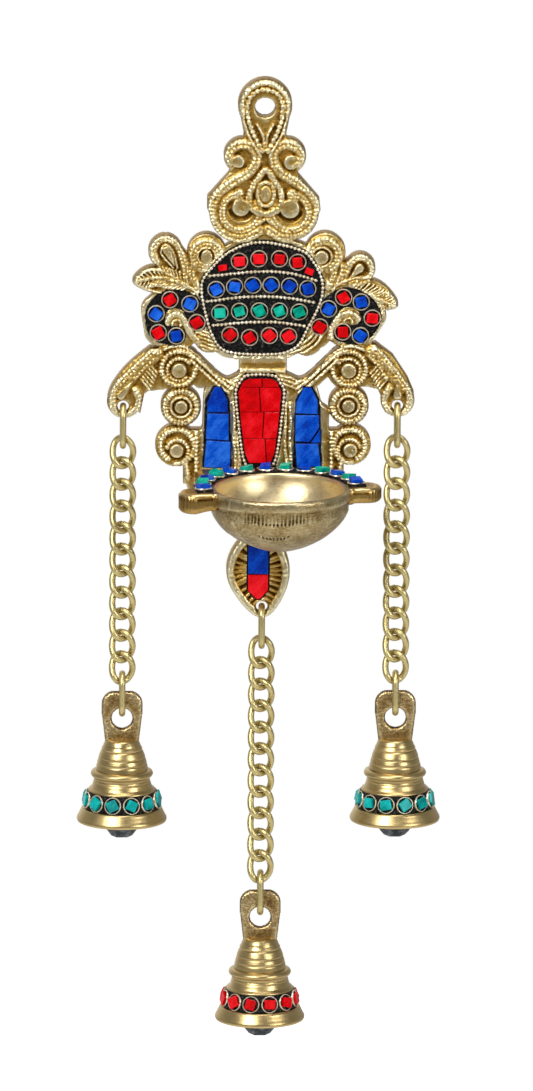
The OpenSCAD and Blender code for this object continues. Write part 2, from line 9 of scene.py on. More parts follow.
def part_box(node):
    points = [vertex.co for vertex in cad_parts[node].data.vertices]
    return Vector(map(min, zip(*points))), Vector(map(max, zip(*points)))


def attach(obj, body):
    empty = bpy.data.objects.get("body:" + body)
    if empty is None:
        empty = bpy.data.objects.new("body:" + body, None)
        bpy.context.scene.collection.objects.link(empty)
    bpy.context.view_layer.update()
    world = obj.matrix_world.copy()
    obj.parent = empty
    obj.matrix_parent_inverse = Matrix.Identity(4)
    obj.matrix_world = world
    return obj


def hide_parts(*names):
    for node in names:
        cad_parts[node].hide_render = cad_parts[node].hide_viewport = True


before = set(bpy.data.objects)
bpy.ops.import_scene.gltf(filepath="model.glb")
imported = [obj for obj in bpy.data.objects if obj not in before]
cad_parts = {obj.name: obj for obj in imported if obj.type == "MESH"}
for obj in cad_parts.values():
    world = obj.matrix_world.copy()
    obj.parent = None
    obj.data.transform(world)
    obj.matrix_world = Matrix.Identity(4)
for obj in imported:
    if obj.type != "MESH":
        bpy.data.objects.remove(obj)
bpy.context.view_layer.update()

# Sizes are in millimetres, in the frame of the solids: X right, Z up, and the front faces -Y
MM = 0.001
SIDES = ("left", "center", "right")
FLAT = ((1, 0, 0), (0, 1, 0), (0, 0, 1))
ON_WALL = ((1, 0, 0), (0, 0, 1), (0, -1, 0))

# Plaque
PLATE_T = 6.5
GROUND = 5.9
EDGE_ROUND = 1.3
PLAQUE_STEP = 0.29
EYE_HOLE_R = 3.45
LUG_HOLE_R = 2.0
LUG_BACK = 3.0
LUG_POCKET_R = 6.5
BAND_H = 0.6
CAP_H = 0.75
LUG_CAP_H = 0.4
RELIEF_REACH = 1.2
DOT_H = 0.26
DOT_TURN = math.pi / 1.25
PIT_D = 0.28
TAIL_TOP = -146
TAIL_RIM = 2.2
LUGS = [(-47.9, -104.0), (-0.3, -174.0), (45.6, -103.6)]

# Inlay
RECESS_Y = 4.9
HORN_LAC = 3.2
POT_LAC = 0.9
LAC_Y = 6.3
TILE_Y = 5.5
TILE_TOP = 6.7
SEAT_D = 0.5
RING_R = 2.96
RING_WALL = 0.4
RING_H = 1.1
LEDGE_RING_H = 0.65
BELL_RING_H = 0.95
BEAD_R = 0.57
BEAD_PITCH = 1.36
BEAD_LIFT = 0.42
CORE_R = 0.25
CORE_LIFT = 0.05

# Stone chips as width, depth, height and lean
CHIP = (3.65, 3.45, 1.8, 0.07)
CORNER_CHIP = (3.0, 2.0, 1.1, 0.07)
LEDGE_CHIP = (3.8, 3.5, 1.9, 0.2)

# Oil bowl
BOWL_R = 22.0
BOWL_WALL = 2.0
BOWL_DEPTH = 22.0
BOWL_YAW = math.radians(10)
BOWL_TAPER = 1.3
RIM_Z = -125.4
LEDGE_T = 5.5
LEDGE_ROUND = 1.8
EAR_REACH = 35.0
EAR_HALF = 6.0
EAR_SAG = 1.6
LEDGE_LAC_T = 0.9
LEDGE_ARC_R = 26.4
LEDGE_STONES = 13

# Rows of punched marks as height, reach and pitch, the last two in degrees round the bowl
MARKS_AT = -97
MARK_ROWS = [(-6.6, 30, 3.2), (-12.6, 16, 3.6)]
MARK_D = 0.85

# Middle of the bowl, whose ledge meets the plaque's front
BOWL_OUT = (LEDGE_ARC_R + 3.15) / math.cos(BOWL_YAW)
BOWL_X = BOWL_OUT * math.sin(BOWL_YAW)
BOWL_Y = -PLATE_T - BOWL_OUT * math.cos(BOWL_YAW)

# Chains and bells
WIRE_R = 1.1
LINK_HALF_W = 3.5
LINK_HALF_L = 4.98
LINK_TWIST = 1.4
LINK_SEAM = 97
CONNECTOR_R = 3.6
CONNECTOR_L = 13.9
LOOP_W = 14.0
LOOP_H = 18.0
LOOP_ROUND = 4.4
LOOP_FOOT = 5.7
LOOP_WORN = 1.1
LOOP_T = 3.4
LOOP_HOLE_R = 3.55
LOOP_HOLE_Z = -9.35
BAND_Z = -37.6
BAND_R = 12.5
BAND_TILT = math.radians(12)
BAND_HALF = 2.95
BELL_STONES = 12
PIN_Z = -22.3
PIN_HALF = 6.4
PIN_R = 0.8
GROOVE_W = 0.17
GROOVE_D = 0.24
BELL_GROOVES = (-18.9, -20.4, -23.2, -25.2, -30.7, -31.6, -32.6)
BELL_PROFILE = [(0, -16.6), (5, -16.7), (5.6, -17.1), (6.2, -18.2), (6.95, -19.9), (6.92, -20.15),
                (7.55, -21.6), (8.05, -23), (8.02, -23.25), (8.45, -24.7), (8.8, -26.2), (8.85, -27.4),
                (9.6, -27.5), (10.3, -27.9), (10.65, -28.45), (10.65, -28.95), (10.3, -29.5), (9.65, -29.85),
                (9.6, -30.4), (9.75, -31.2), (9.9, -31.8), (10.05, -32.3), (10.2, -32.8), (10.4, -33.4),
                (10.8, -33.8), (11.3, -34.05), (11.5, -34.3), (11.5, -34.6), (10.8, -34.6), (10.8, -40.6),
                (13.4, -40.6), (13.8, -40.9), (14, -41.4), (14.5, -42.4), (15, -43.4), (15.4, -44.1),
                (15.4, -44.7), (15.2, -45.2), (13.9, -45.2), (11.2, -41.6), (9.6, -39.5), (9.2, -36.5),
                (8.4, -32), (7.4, -28), (6.4, -24.5), (5.4, -21.8), (3.6, -20), (0, -19.6)]

# Outlines and paths on the plaque as x and z
POT_EDGE = [(-1, -46.8), (-11.6, -50), (-19.6, -58), (-21, -63), (-19.9, -70), (-17.8, -77.6), (-14.6, -83),
            (-9.9, -84.7), (-1, -85.2), (6.8, -84.6), (11.6, -81.8), (14.6, -76), (17.8, -69.6),
            (19.4, -64.4), (19.2, -59.4), (16.6, -53.9), (12.2, -49.6)]
DIVIDERS = [[(-19.2, -58.3), (-8.6, -57.2), (0, -56.6), (8.6, -57.2), (18.2, -59.9)],
            [(-20, -67.2), (-9, -65.7), (0, -65.3), (8, -65.8), (17.4, -67.5)],
            [(-17.9, -75.5), (-8, -74.5), (0, -74.2), (6, -74.4), (14.2, -75.7)]]
LEFT_HORN = [(-21.2, -77.6), (-22.7, -74.2), (-25.3, -67.9), (-32.1, -66.4), (-36.9, -70.8), (-35.8, -77.8),
             (-30, -79.2), (-27.6, -78.6)]
RIGHT_HORN = [(17.9, -78.6), (18.9, -75), (21.9, -69.6), (27, -65.8), (33, -67), (36.6, -72.4),
              (32.8, -78.3), (26.8, -78), (24.8, -76.6)]
TAIL = [(-1.6, -146), (-8.6, -151.4), (-12.2, -158.6), (-11.8, -165.4), (-8, -172), (-3.6, -176.6),
        (-0.4, -177.7), (2.8, -176.6), (6.2, -172), (8.8, -165.4), (8.9, -158.6), (5.6, -151.4)]
LEFT_LEAF = [(-22, -64.6), (-28, -59.6), (-36, -55.4), (-41.6, -56.4), (-44.9, -60.6), (-40, -63.8),
             (-31, -65.6)]
RIGHT_LEAF = [(24, -63.6), (31, -59.6), (38.5, -60.2), (43.6, -64.4), (45.6, -69), (40, -70.4), (32.5, -68.4)]

# Tiled panels as heights and half widths, with their middles, the margin of lac round them, the heights
# between the rows of tiles and the joints across each row
TILE_GAP = 0.16
RED_MID = -1.3
RED_MARGIN = 1.7
RED_ROWS = [-94, -97, -105.7, -114.9, -123.6]
RED_CUTS = [[-9, joint, 9] for joint in (0.7, 0, 1.2, 2.1)]
RED_PANEL = [(-93.9, 3.4), (-95.3, 5.8), (-98.7, 7.3), (-109, 6.4), (-120, 5), (-123.6, 3.6)]
BLUE_MIDS = (-15.8, 15.0)
BLUE_MARGIN = 0.2
BLUE_PANEL = [(-97, 1.2), (-101.5, 3.9), (-125, 4.7)]
TAIL_MID = -1.6
TAIL_MARGIN = 0.4
TAIL_ROWS = [-152, -162.4, -172]
TAIL_CUTS = [[-5, 5]]
TAIL_PANEL = [(-152.6, 3.4), (-168, 3.4), (-171, 0.6)]

# Scrolls as x, z, radius and radius of the eye. Petals, volutes and curls as x, z and radius
SCROLLS = [(-28.9, -90.7, 7.5, 2.7), (-28.2, -104, 6.9, 2.3), (-29.6, -117.6, 7.3, 2.5),
           (28.9, -90.7, 7.5, 2.7), (28.9, -103.6, 6.9, 2.3), (29.6, -117.3, 7, 2.5)]
PETALS = [(-19.7, -50.4, 6.6), (-33.7, -50, 5.8), (20.6, -50.4, 7), (32.6, -55.7, 5.2)]
VOLUTES = [(-8.2, -36.4, 10.6), (8.8, -36.4, 9.6)]
CURLS = [(-7.8, -16.8, 6.2), (7.8, -16.8, 6.2)]

# Studio, in metres and degrees. The room's grey levels run along two axes
TARGET = (0.0012, -0.0065, -0.1523)
CAMERA_RISE = 13
CAMERA_TURN = -1
CAMERA_TILT = 0.3
CAMERA_AWAY = 6.0
LENS = 580
SENSOR = 36
FLOOR_HALF = 1.2
FLOOR_Z = -0.62
WHITE = (1, 1, 1, 1)
LAMPS = [("key", (-0.8, -1.3, 0.9), 0.7, 26), ("fill", (1.1, -1.1, 0.3), 0.6, 10),
         ("top", (0.1, -0.3, 1.3), 0.7, 10)]
ROOM = [("Y", ((0.3, 0.16), (0.75, 0.4), (0.97, 1.0))),
        ("X", ((0.1, 1.0), (0.45, 1.0), (0.75, 0.35), (0.95, 0.8)))]

# Stones in rings on the plaque as x, z and turn in degrees
RED_SET = [(-8.5, -53.1, 4), (-1.9, -52.2, 2), (5.1, -52.2, -4), (11.3, -53.4, 6), (-11.6, -78.7, 42),
           (-4.9, -79.6, 30), (1.8, -78.9, 42), (8.3, -79.1, 32), (-22.9, -74.4, 32), (-32.1, -66.5, 30),
           (-36, -78, 28), (18.9, -75.9, -32), (27, -65.6, 30), (36.8, -72.8, -5), (26.8, -77.6, 3)]
BLUE_SET = [(-16.4, -62.9, 28), (-10.1, -61.9, -8), (-3.9, -61.4, 32), (2.3, -61.3, 40), (8.6, -61.7, -34),
            (14.8, -62.6, 14), (-25.3, -67.9, -24), (-36.8, -71.4, -34), (-29.9, -79.1, 10),
            (21.9, -69.6, -26), (33, -67.2, 12), (32.8, -78.9, -34)]
GREEN_SET = [(-15.1, -71, 3), (-8.4, -70.5, 16), (-1.6, -70.3, 24), (5.2, -70.4, 20), (11.9, -70.7, 22)]
CORNER_SET = [(-14.2, -55.3, 8), (15.3, -56.5, -22)]

# Hand-cut tiles of the blue panels as outlines, one with a corner broken off
BLUE_TILES = [[(-16.8, -97.1), (-14.6, -97), (-12.4, -101.6), (-12.3, -105.7), (-19.2, -105.6),
               (-19.1, -102.2)],
              [(-19.2, -106.2), (-11.9, -106.4), (-11.9, -115.6), (-19.6, -115.1)],
              [(-19.4, -115.6), (-11.2, -116.2), (-11.4, -125), (-20.3, -125)],
              [(13.6, -97.1), (16.1, -97), (18.3, -101.6), (18.4, -106.4), (10.9, -106.1), (11.2, -102.2)],
              [(10.9, -106.8), (18.8, -106.8), (18.9, -111), (15.7, -116.1), (10.8, -115.8)],
              [(19.3, -111.7), (19.4, -116.2), (16.3, -116.3)],
              [(10.9, -116.7), (18.6, -116.7), (19.5, -124.6), (11.5, -125)]]


def spline(points, steps=6, closed=False):
    """Smooth path through points, as an array of points."""
    p = np.array(points, float)
    n = len(p)
    out = []
    for i in range(n if closed else n - 1):
        near = ([(i - 1) % n, i, (i + 1) % n, (i + 2) % n] if closed
                else [max(i - 1, 0), i, i + 1, min(i + 2, n - 1)])
        a, b, c, d = p[near]
        for t in np.arange(steps) / steps:
            out.append((2 * b + (c - a) * t + (2 * a - 5 * b + 4 * c - d) * t ** 2
                        + (3 * b - a - 3 * c + d) * t ** 3) / 2)
    out.append(p[0] if closed else p[-1])
    return np.array(out)


def spiral(center, r0, r1, start, end, steps=40):
    """Points on a spiral from one radius to another, with its angles in degrees."""
    a = np.radians(np.linspace(start, end, steps + 1))
    r = np.linspace(r0, r1, steps + 1)
    return np.c_[center[0] + r * np.cos(a), center[1] + r * np.sin(a)]


def arc(center, radius, start, end, steps=24):
    """Points on an arc, with its angles in degrees."""
    return spiral(center, radius, radius, start, end, steps)


def beside(path, w):
    """Path moved sideways by w, to its left."""
    d = np.gradient(path, axis=0)
    d /= np.linalg.norm(d, axis=1)[:, None] + 1e-9
    return path + w * np.c_[-d[:, 1], d[:, 0]]


def lengths(path):
    """How far along a path each of its points lies."""
    return np.r_[0, np.cumsum(np.linalg.norm(np.diff(path, axis=0), axis=1))]


def panel(rows, middle, wider):
    """Outline of a panel given as heights and half widths, wider by a margin."""
    last = len(rows) - 1
    side = [(h, z + (wider if i == 0 else -wider if i == last else 0)) for i, (z, h) in enumerate(rows)]
    return [(middle + h + wider, z) for h, z in side] + [(middle - h - wider, z) for h, z in reversed(side)]


def grain(u, v, size, seed):
    """Smooth noise from -1 to 1 with lumps of a given size."""
    table = np.random.default_rng(seed).uniform(-1, 1, (64, 64))
    u, v = u / size, v / size
    i, j = np.floor(u).astype(int), np.floor(v).astype(int)
    f, g = u - i, v - j
    f, g = f * f * (3 - 2 * f), g * g * (3 - 2 * g)
    low = table[i % 64, j % 64] * (1 - f) + table[(i + 1) % 64, j % 64] * f
    high = table[i % 64, (j + 1) % 64] * (1 - f) + table[(i + 1) % 64, (j + 1) % 64] * f
    return low * (1 - g) + high * g


def disc(x, z, center, radius):
    return np.hypot(x - center[0], z - center[1]) - radius


def polygon(x, z, points):
    """Signed distance to an outline, negative inside it."""
    p = np.array(points, float)
    dist = np.full(x.shape, 1e6)
    within = np.zeros(x.shape, bool)
    for a, b in zip(p, np.roll(p, -1, 0)):
        d = b - a
        if d @ d < 1e-12:
            continue
        t = np.clip(((x - a[0]) * d[0] + (z - a[1]) * d[1]) / (d @ d), 0, 1)
        dist = np.minimum(dist, (x - a[0] - t * d[0]) ** 2 + (z - a[1] - t * d[1]) ** 2)
        if d[1]:
            within ^= ((a[1] > z) != (b[1] > z)) & (x < a[0] + (z - a[1]) * d[0] / d[1])
    return np.where(within, -1, 1) * np.sqrt(dist)


def along(x, z, points):
    """Distance to a path, and how far along the path its nearest point lies."""
    dist = np.full(x.shape, 1e6)
    run = np.zeros(x.shape)
    start = 0.0
    for a, b in zip(points[:-1], points[1:]):
        d = b - a
        length = math.hypot(*d)
        if length < 1e-9:
            continue
        t = np.clip(((x - a[0]) * d[0] + (z - a[1]) * d[1]) / length ** 2, 0, 1)
        here = np.hypot(x - a[0] - t * d[0], z - a[1] - t * d[1])
        run = np.where(here < dist, start + t * length, run)
        dist = np.minimum(here, dist)
        start += length
    return dist, run


def worn(inside, radius):
    """How far a rounded edge falls away at a distance inside the outline."""
    short = radius - np.clip(inside, 0, radius)
    return radius - np.sqrt(np.maximum(radius ** 2 - short ** 2, 0))


class Sheet:
    """Grid over a flat casting: the distance to its outline, negative inside, and the height of its front."""

    def __init__(self, low, high, step):
        self.step = step
        self.x, self.z = np.meshgrid(np.arange(low[0], high[0], step), np.arange(low[1], high[1], step))
        self.edge = np.full(self.x.shape, 99.0)
        self.front = np.zeros(self.x.shape)
        self.plain = np.zeros(self.x.shape, bool)
        self.beads = np.zeros(self.x.shape)

    def window(self, points, reach):
        """Slices of the grid around a few points."""
        p = np.array(points, float)
        c0, c1 = ((p[:, 0].min() - reach, p[:, 0].max() + reach) - self.x[0, 0]) / self.step
        r0, r1 = ((p[:, 1].min() - reach, p[:, 1].max() + reach) - self.z[0, 0]) / self.step
        return np.s_[max(int(r0), 0):max(int(r1) + 2, 0), max(int(c0), 0):max(int(c1) + 2, 0)]

    def ridge(self, points, half, rise, pitch=0.0, notch=0.0, base=GROUND, blunt=0.5):
        """Rounded ridge along a path, flatter if less blunt. A pitch and a notch cut it into rope turns or
        beads. Without a base it lies on whatever is there."""
        points = np.array(points, float)
        w = self.window(points, half)
        d, run = along(self.x[w], self.z[w], points)
        hump = 1 - (d / half) ** 2
        if pitch:
            run = run + 0.2 * grain(self.x[w], self.z[w], 2.3, 9)
            hump = hump - notch * ((run % pitch) / pitch * 2 - 1) ** 2
        crown = np.clip(hump, 0, 1) ** blunt
        if base is None:
            self.beads[w] = np.maximum(self.beads[w], rise * crown)
        else:
            self.front[w] = np.maximum(self.front[w], np.where(crown > 0, base + rise * crown, 0))

    def band(self, path, half, rise, pitch):
        """Flat band with two rows of beads on its back."""
        self.ridge(path, half + 0.25, rise - 0.45, blunt=0.28)
        for w in (0.46, -0.46):
            self.ridge(beside(path, w * half), 0.44 * half, 0.4, pitch, 1.0, None)

    def dome(self, center, rx, rz, rise):
        """Rounded boss, oval if its radii differ."""
        w = self.window([center], max(rx, rz))
        dx, dz = self.x[w] - center[0], self.z[w] - center[1]
        crown = np.sqrt(np.clip(1 - (dx / rx) ** 2 - (dz / rz) ** 2, 0, 1))
        self.front[w] = np.maximum(self.front[w], np.where(crown > 0, GROUND + rise * crown ** 0.8, 0))
        self.plain[w] |= crown > 0

    def drop(self, head, tip, radius, rise):
        """Teardrop boss from its round head to its tip."""
        for t in np.linspace(0, 1, 12):
            r = radius * (1 - 0.85 * t)
            self.dome((head[0] + (tip[0] - head[0]) * t, head[1] + (tip[1] - head[1]) * t), r, r,
                      rise * (1 - 0.3 * t))

    def hollow(self, points, half, depth):
        """Groove along a path."""
        points = np.array(points, float)
        w = self.window(points, half)
        d, _ = along(self.x[w], self.z[w], points)
        self.front[w] -= depth * np.clip(1 - (d / half) ** 2, 0, 1)

    def settle_edge(self, near=4.0):
        """Makes the distance to the outline true near the outline."""
        e, x, z = self.edge, self.x, self.z
        spots = []
        for a, b in ((np.s_[:, :-1], np.s_[:, 1:]), (np.s_[:-1, :], np.s_[1:, :])):
            cut = (e[a] < 0) != (e[b] < 0)
            t = e[a][cut] / (e[a][cut] - e[b][cut])
            spots.append(np.c_[x[a][cut] + t * (x[b][cut] - x[a][cut]),
                               z[a][cut] + t * (z[b][cut] - z[a][cut])])
        spots = np.concatenate(spots)
        tree = kdtree.KDTree(len(spots))
        for i, (u, v) in enumerate(spots):
            tree.insert((u, v, 0), i)
        tree.balance()
        for r, c in zip(*np.nonzero(np.abs(e) < near)):
            e[r, c] = math.copysign(tree.find((x[r, c], z[r, c], 0))[2], e[r, c])

    def relief(self):
        """Share from 0 in the hollows to 1 on the ridges, which the brass colours turn into patina and
        painted shade in the hollows and pale worn ridges.
        """
        n = max(int(RELIEF_REACH / self.step), 1)
        soft = self.front.copy()
        for axis in (0, 1):
            for _ in range(2):
                soft = sum(np.roll(soft, k, axis) for k in range(-n, n + 1)) / (2 * n + 1)
        return np.clip(0.5 + 0.9 * (self.front - soft), 0, 1)

    def mesh(self, back, grid_back=False, spare=()):
        """Closed mesh as points (u, v, height), faces and relief shares. The back is an array of heights: it
        gets the front's grid, or else triangles between the rim and a few spare points."""
        e, step = self.edge, self.step
        slope_z, slope_x = np.gradient(e, step)
        steep = np.hypot(slope_x, slope_z) + 1e-9
        snap = np.where(np.abs(e) < 0.5 * step, e, 0)
        x = self.x - snap * slope_x / steep
        z = self.z - snap * slope_z / steep
        keep = e < 0.5 * step
        corners = [np.s_[:-1, :-1], np.s_[:-1, 1:], np.s_[1:, 1:], np.s_[1:, :-1]]
        cell = np.logical_and.reduce([keep[c] for c in corners]) & (sum(e[c] for c in corners) < -0.2 * step)
        used = np.zeros(e.shape, bool)
        for c in corners:
            used[c] |= cell
        index = np.full(e.shape, -1)
        count = int(used.sum())
        index[used] = np.arange(count)
        points = [np.c_[x[used], z[used], self.front[used]]]
        share = [self.relief()[used]]
        quads = np.stack([index[c][cell] for c in corners], 1)
        faces = quads.tolist()
        a, b = quads.ravel(), np.roll(quads, -1, 1).ravel()
        rim = ~np.isin(b * count + a, a * count + b)
        a, b = a[rim], b[rim]
        ring = np.unique(np.r_[a, b])
        place = np.full(count, -1)
        place[ring] = np.arange(len(ring))
        top, low = points[0][ring], back[used][ring]
        above = ring
        for t in (0.35, 0.7, 1.0):
            start = sum(len(p) for p in points)
            if t == 1.0 and grid_back:
                below = start + ring
                points.append(np.c_[x[used], z[used], back[used]])
                share.append(np.full(count, 0.45))
                faces += (quads[:, ::-1] + start).tolist()
            else:
                below = start + np.arange(len(ring))
                points.append(np.c_[top[:, :2], top[:, 2] + (low - top[:, 2]) * t])
                share.append(np.full(len(ring), 0.4))
            faces += np.c_[above[place[b]], above[place[a]], below[place[a]], below[place[b]]].tolist()
            above = below
        if not grid_back:
            extra = np.array([p for p in spare if self.sample(p) < -0.5]).reshape(-1, 2)
            flat = np.r_[top[:, :2], extra]
            start = sum(len(p) for p in points)
            points.append(np.c_[extra, [self.sample(p, back) for p in extra]])
            share.append(np.full(len(extra), 0.4))
            name = np.r_[above, start + np.arange(len(extra))]
            edges = np.c_[place[a], place[b]].tolist()
            spots, _, tris, origin, _, _ = geometry.delaunay_2d_cdt(
                [Vector(p) for p in flat], edges, [], 1, 1e-7)
            for tri in tris:
                mid = sum((spots[k] for k in tri), Vector((0, 0))) / 3
                if self.sample(mid) < 0 and all(origin[k] for k in tri):
                    faces.append([int(name[origin[k][0]]) for k in reversed(tri)])
        return np.concatenate(points), faces, np.concatenate(share)

    def sample(self, p, field=None):
        """Value of a field at the nearest grid point: the distance to the outline, if none is named."""
        r = min(max(int(round((p[1] - self.z[0, 0]) / self.step)), 0), self.x.shape[0] - 1)
        c = min(max(int(round((p[0] - self.x[0, 0]) / self.step)), 0), self.x.shape[1] - 1)
        return (self.edge if field is None else field)[r, c]


def upright(points):
    """Turns points (u, v, height) of a sheet to stand on the wall, with heights towards the front."""
    return np.c_[points[:, 0], -points[:, 2], points[:, 1]]


def skin(rows, n, wrap=False, flip=False):
    """Faces between rows of n points. With wrap, the last row meets the first."""
    faces = []
    for i in range(rows if wrap else rows - 1):
        a, b = i * n, (i + 1) % rows * n
        for k in range(n):
            m = (k + 1) % n
            faces.append([a + m, a + k, b + k, b + m] if flip else [a + k, a + m, b + m, b + k])
    return faces


def lathe(profile, sides, closed=False):
    """Profile of radius and height turned about Z, from top to bottom outside. A closed one makes a ring."""
    turn = np.arange(sides) * 2 * math.pi / sides
    points, rows, faces = [], [], []
    for r, h in np.array(profile, float):
        if r < 1e-6:
            rows.append([len(points)] * sides)
            points.append((0, 0, h))
        else:
            rows.append(list(range(len(points), len(points) + sides)))
            points += [(r * math.cos(t), r * math.sin(t), h) for t in turn]
    for up, low in zip(rows, rows[1:] + (rows[:1] if closed else [])):
        for i in range(sides):
            j = (i + 1) % sides
            face = list(dict.fromkeys((up[j], up[i], low[i], low[j])))
            if len(face) > 2:
                faces.append(face)
    return np.array(points, float), faces


def on_pin(part):
    """Lathe work laid along Y, at the height of a bell's pin."""
    points, faces = part
    return upright(points) + (0, 0, PIN_Z), faces


def polar(points):
    """Radius and angle of points about Z."""
    return np.hypot(points[:, 0], points[:, 1]), np.arctan2(points[:, 1], points[:, 0])


def tube(path, radius, sides, closed=True):
    """Round wire along a path, with flat ends if it is open."""
    path = np.array(path, float)
    n = len(path)
    way = np.roll(path, -1, 0) - np.roll(path, 1, 0) if closed else np.gradient(path, axis=0)
    way /= np.linalg.norm(way, axis=1)[:, None]
    middle = path.mean(0)
    points = []
    for p, d in zip(path, way):
        out = p - middle
        out -= (out @ d) * d
        out /= np.linalg.norm(out)
        up = np.cross(d, out)
        for k in range(sides):
            a = 2 * math.pi * k / sides
            points.append(p + radius * (math.cos(a) * out + math.sin(a) * up))
    faces = skin(n, sides, closed)
    if not closed:
        faces += [list(range(sides))[::-1], list(range((n - 1) * sides, n * sides))]
    return np.array(points), faces


def prism(outline, low, high, bevel, tilt=(0.0, 0.0)):
    """Chip on an outline in the u-v plane, from height low to high, with a bevelled top that may lean."""
    p = np.array(outline, float)
    middle = p.mean(0)
    size = np.abs(p - middle).max()
    inner = middle + (p - middle) * (1 - bevel / size)
    lean = (p - middle) @ np.array(tilt)
    n = len(p)
    rows = [np.c_[p, np.full(n, low)], np.c_[p, high - 0.8 * bevel + lean], np.c_[inner, high + lean]]
    return np.concatenate(rows), skin(3, n) + [list(range(2 * n, 3 * n)), list(range(n))[::-1]]


def chip_outline(w, d, rng):
    """Outline of a hand-cut square stone with nipped corners."""
    cut = rng.uniform(0.01, 0.06, 4) * w
    out = []
    for k, (sx, sy) in enumerate(((1, 1), (-1, 1), (-1, -1), (1, -1))):
        corner = np.array((sx * w / 2, sy * d / 2)) + rng.uniform(-0.1, 0.1, 2)
        first, second = np.array((0, -sy * cut[k])), np.array((-sx * cut[k], 0))
        steps = (first, second) if sx * sy > 0 else (second, first)
        out += [corner + s for s in steps]
    return np.array(out)


def turned(points, angle):
    """Points turned about Z by an angle in radians."""
    c, s = math.cos(angle), math.sin(angle)
    return points @ np.array([[c, s, 0], [-s, c, 0], [0, 0, 1]])


def seated(part, origin, axes, turn=0.0):
    """Part turned about its Z by an angle in radians, and brought from three axes to the lamp's frame."""
    points, faces = part
    return turned(points, turn) @ np.array(axes, float) + np.array(origin, float), faces


def moved(part, by):
    points, faces = part
    return points + by, faces


def joined(parts):
    """One list of points and faces from many."""
    points, faces, start = [], [], 0
    for p, f in parts:
        points.append(p)
        faces += [[i + start for i in face] for face in f]
        start += len(p)
    return np.concatenate(points), faces


def add_piece(name, part, material, body, nodes, crease, relief=None):
    """Mesh object in the lamp's frame that rides on a body and stands for nodes of the frame."""
    points, faces = part
    mesh = bpy.data.meshes.new(name)
    mesh.from_pydata((np.asarray(points) * MM).tolist(), [], faces)
    mesh.polygons.foreach_set("use_smooth", [True] * len(mesh.polygons))
    if relief is not None:
        layer = mesh.attributes.new("relief", "FLOAT", "POINT")
        layer.data.foreach_set("value", np.asarray(relief, np.float32))
    mesh.update()
    if crease:
        mesh.set_sharp_from_angle(angle=math.radians(crease))
    mesh.materials.append(material)
    piece = bpy.data.objects.new(name, mesh)
    bpy.context.scene.collection.objects.link(piece)
    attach(piece, body)
    if nodes:
        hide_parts(*nodes)


def linear(color):
    """Shader colour from a grey level, from screen values of 0 to 255, or from a linear colour as it is."""
    if not isinstance(color, tuple):
        return color, color, color, 1
    if len(color) == 4:
        return color
    part = [c / 255 for c in color]
    return tuple(c / 12.92 if c <= 0.04045 else ((c + 0.055) / 1.055) ** 2.4 for c in part) + (1.0,)


class Shader:
    """Node tree of a material or a world, and short calls that add nodes to it."""

    def __init__(self, owner, main="Principled BSDF"):
        owner.use_nodes = True
        self.owner = owner
        self.tree = owner.node_tree
        self.main = self.tree.nodes[main]
        self.place = self.node("TexCoord").outputs

    def node(self, kind, settings=None, **inputs):
        """New node. Inputs go by name, or by number after an underscore."""
        made = self.tree.nodes.new("ShaderNode" + kind)
        for key, value in (settings or {}).items():
            setattr(made, key, value)
        for key, value in inputs.items():
            self.give(made.inputs[int(key[1:]) if key[0] == "_" else key], value)
        return made

    def give(self, socket, value):
        if isinstance(value, bpy.types.NodeSocket):
            self.tree.links.new(value, socket)
        else:
            socket.default_value = value

    def set(self, **inputs):
        for key, value in inputs.items():
            self.give(self.main.inputs[key.replace("_", " ")], value)

    def noise(self, size, detail=3.0, rough=0.55, stretch=None, turn=0.0):
        """Noise with lumps of a size in millimetres, stretched along axes that may be turned about Y."""
        place = self.place["Object"]
        if turn:
            place = self.node("VectorRotate", {"rotation_type": "Y_AXIS"}, Vector=place,
                              Angle=turn).outputs[0]
        if stretch:
            place = self.node("Mapping", Vector=place, Scale=stretch).outputs[0]
        return self.node("TexNoise", Vector=place, Scale=1 / (size * MM), Detail=detail,
                         Roughness=rough).outputs[0]

    def ramp(self, value, *stops):
        made = self.node("ValToRGB", Fac=value)
        spots = made.color_ramp.elements
        while len(spots) < len(stops):
            spots.new(0.5)
        for spot, (at, color) in zip(spots, stops):
            spot.position, spot.color = at, linear(color)
        return made.outputs[0]

    def math(self, kind, a, b):
        return self.node("Math", {"operation": kind}, _0=a, _1=b).outputs[0]

    def plus(self, base, value, share):
        """Base with a share of a value added."""
        return self.math("ADD", base, self.math("MULTIPLY", value, share))

    def vary(self, base, value, share):
        """Base made higher and lower by a share of a noise."""
        return self.plus(base, self.math("SUBTRACT", value, 0.5), share)

    def blend(self, share, a, b, kind="MIX"):
        return self.node("Mix", {"data_type": "RGBA", "blend_type": kind}, _0=share, _6=a, _7=b).outputs[2]

    def edge_wear_and_shade(self, low, high):
        """Worn edges and painted shade, from 0 in corners, where shade is painted, to 1 on edges that stand
        out and are worn pale.
        """
        point = self.node("NewGeometry").outputs["Pointiness"]
        return self.node("MapRange", Value=point, _1=low, _2=high).outputs[0]

    def bump(self, value, depth):
        """Bump of a depth in millimetres."""
        return self.node("Bump", Height=value, Distance=depth * MM, Strength=1.0).outputs[0]


def new_look(name):
    return Shader(bpy.data.materials.new(name))


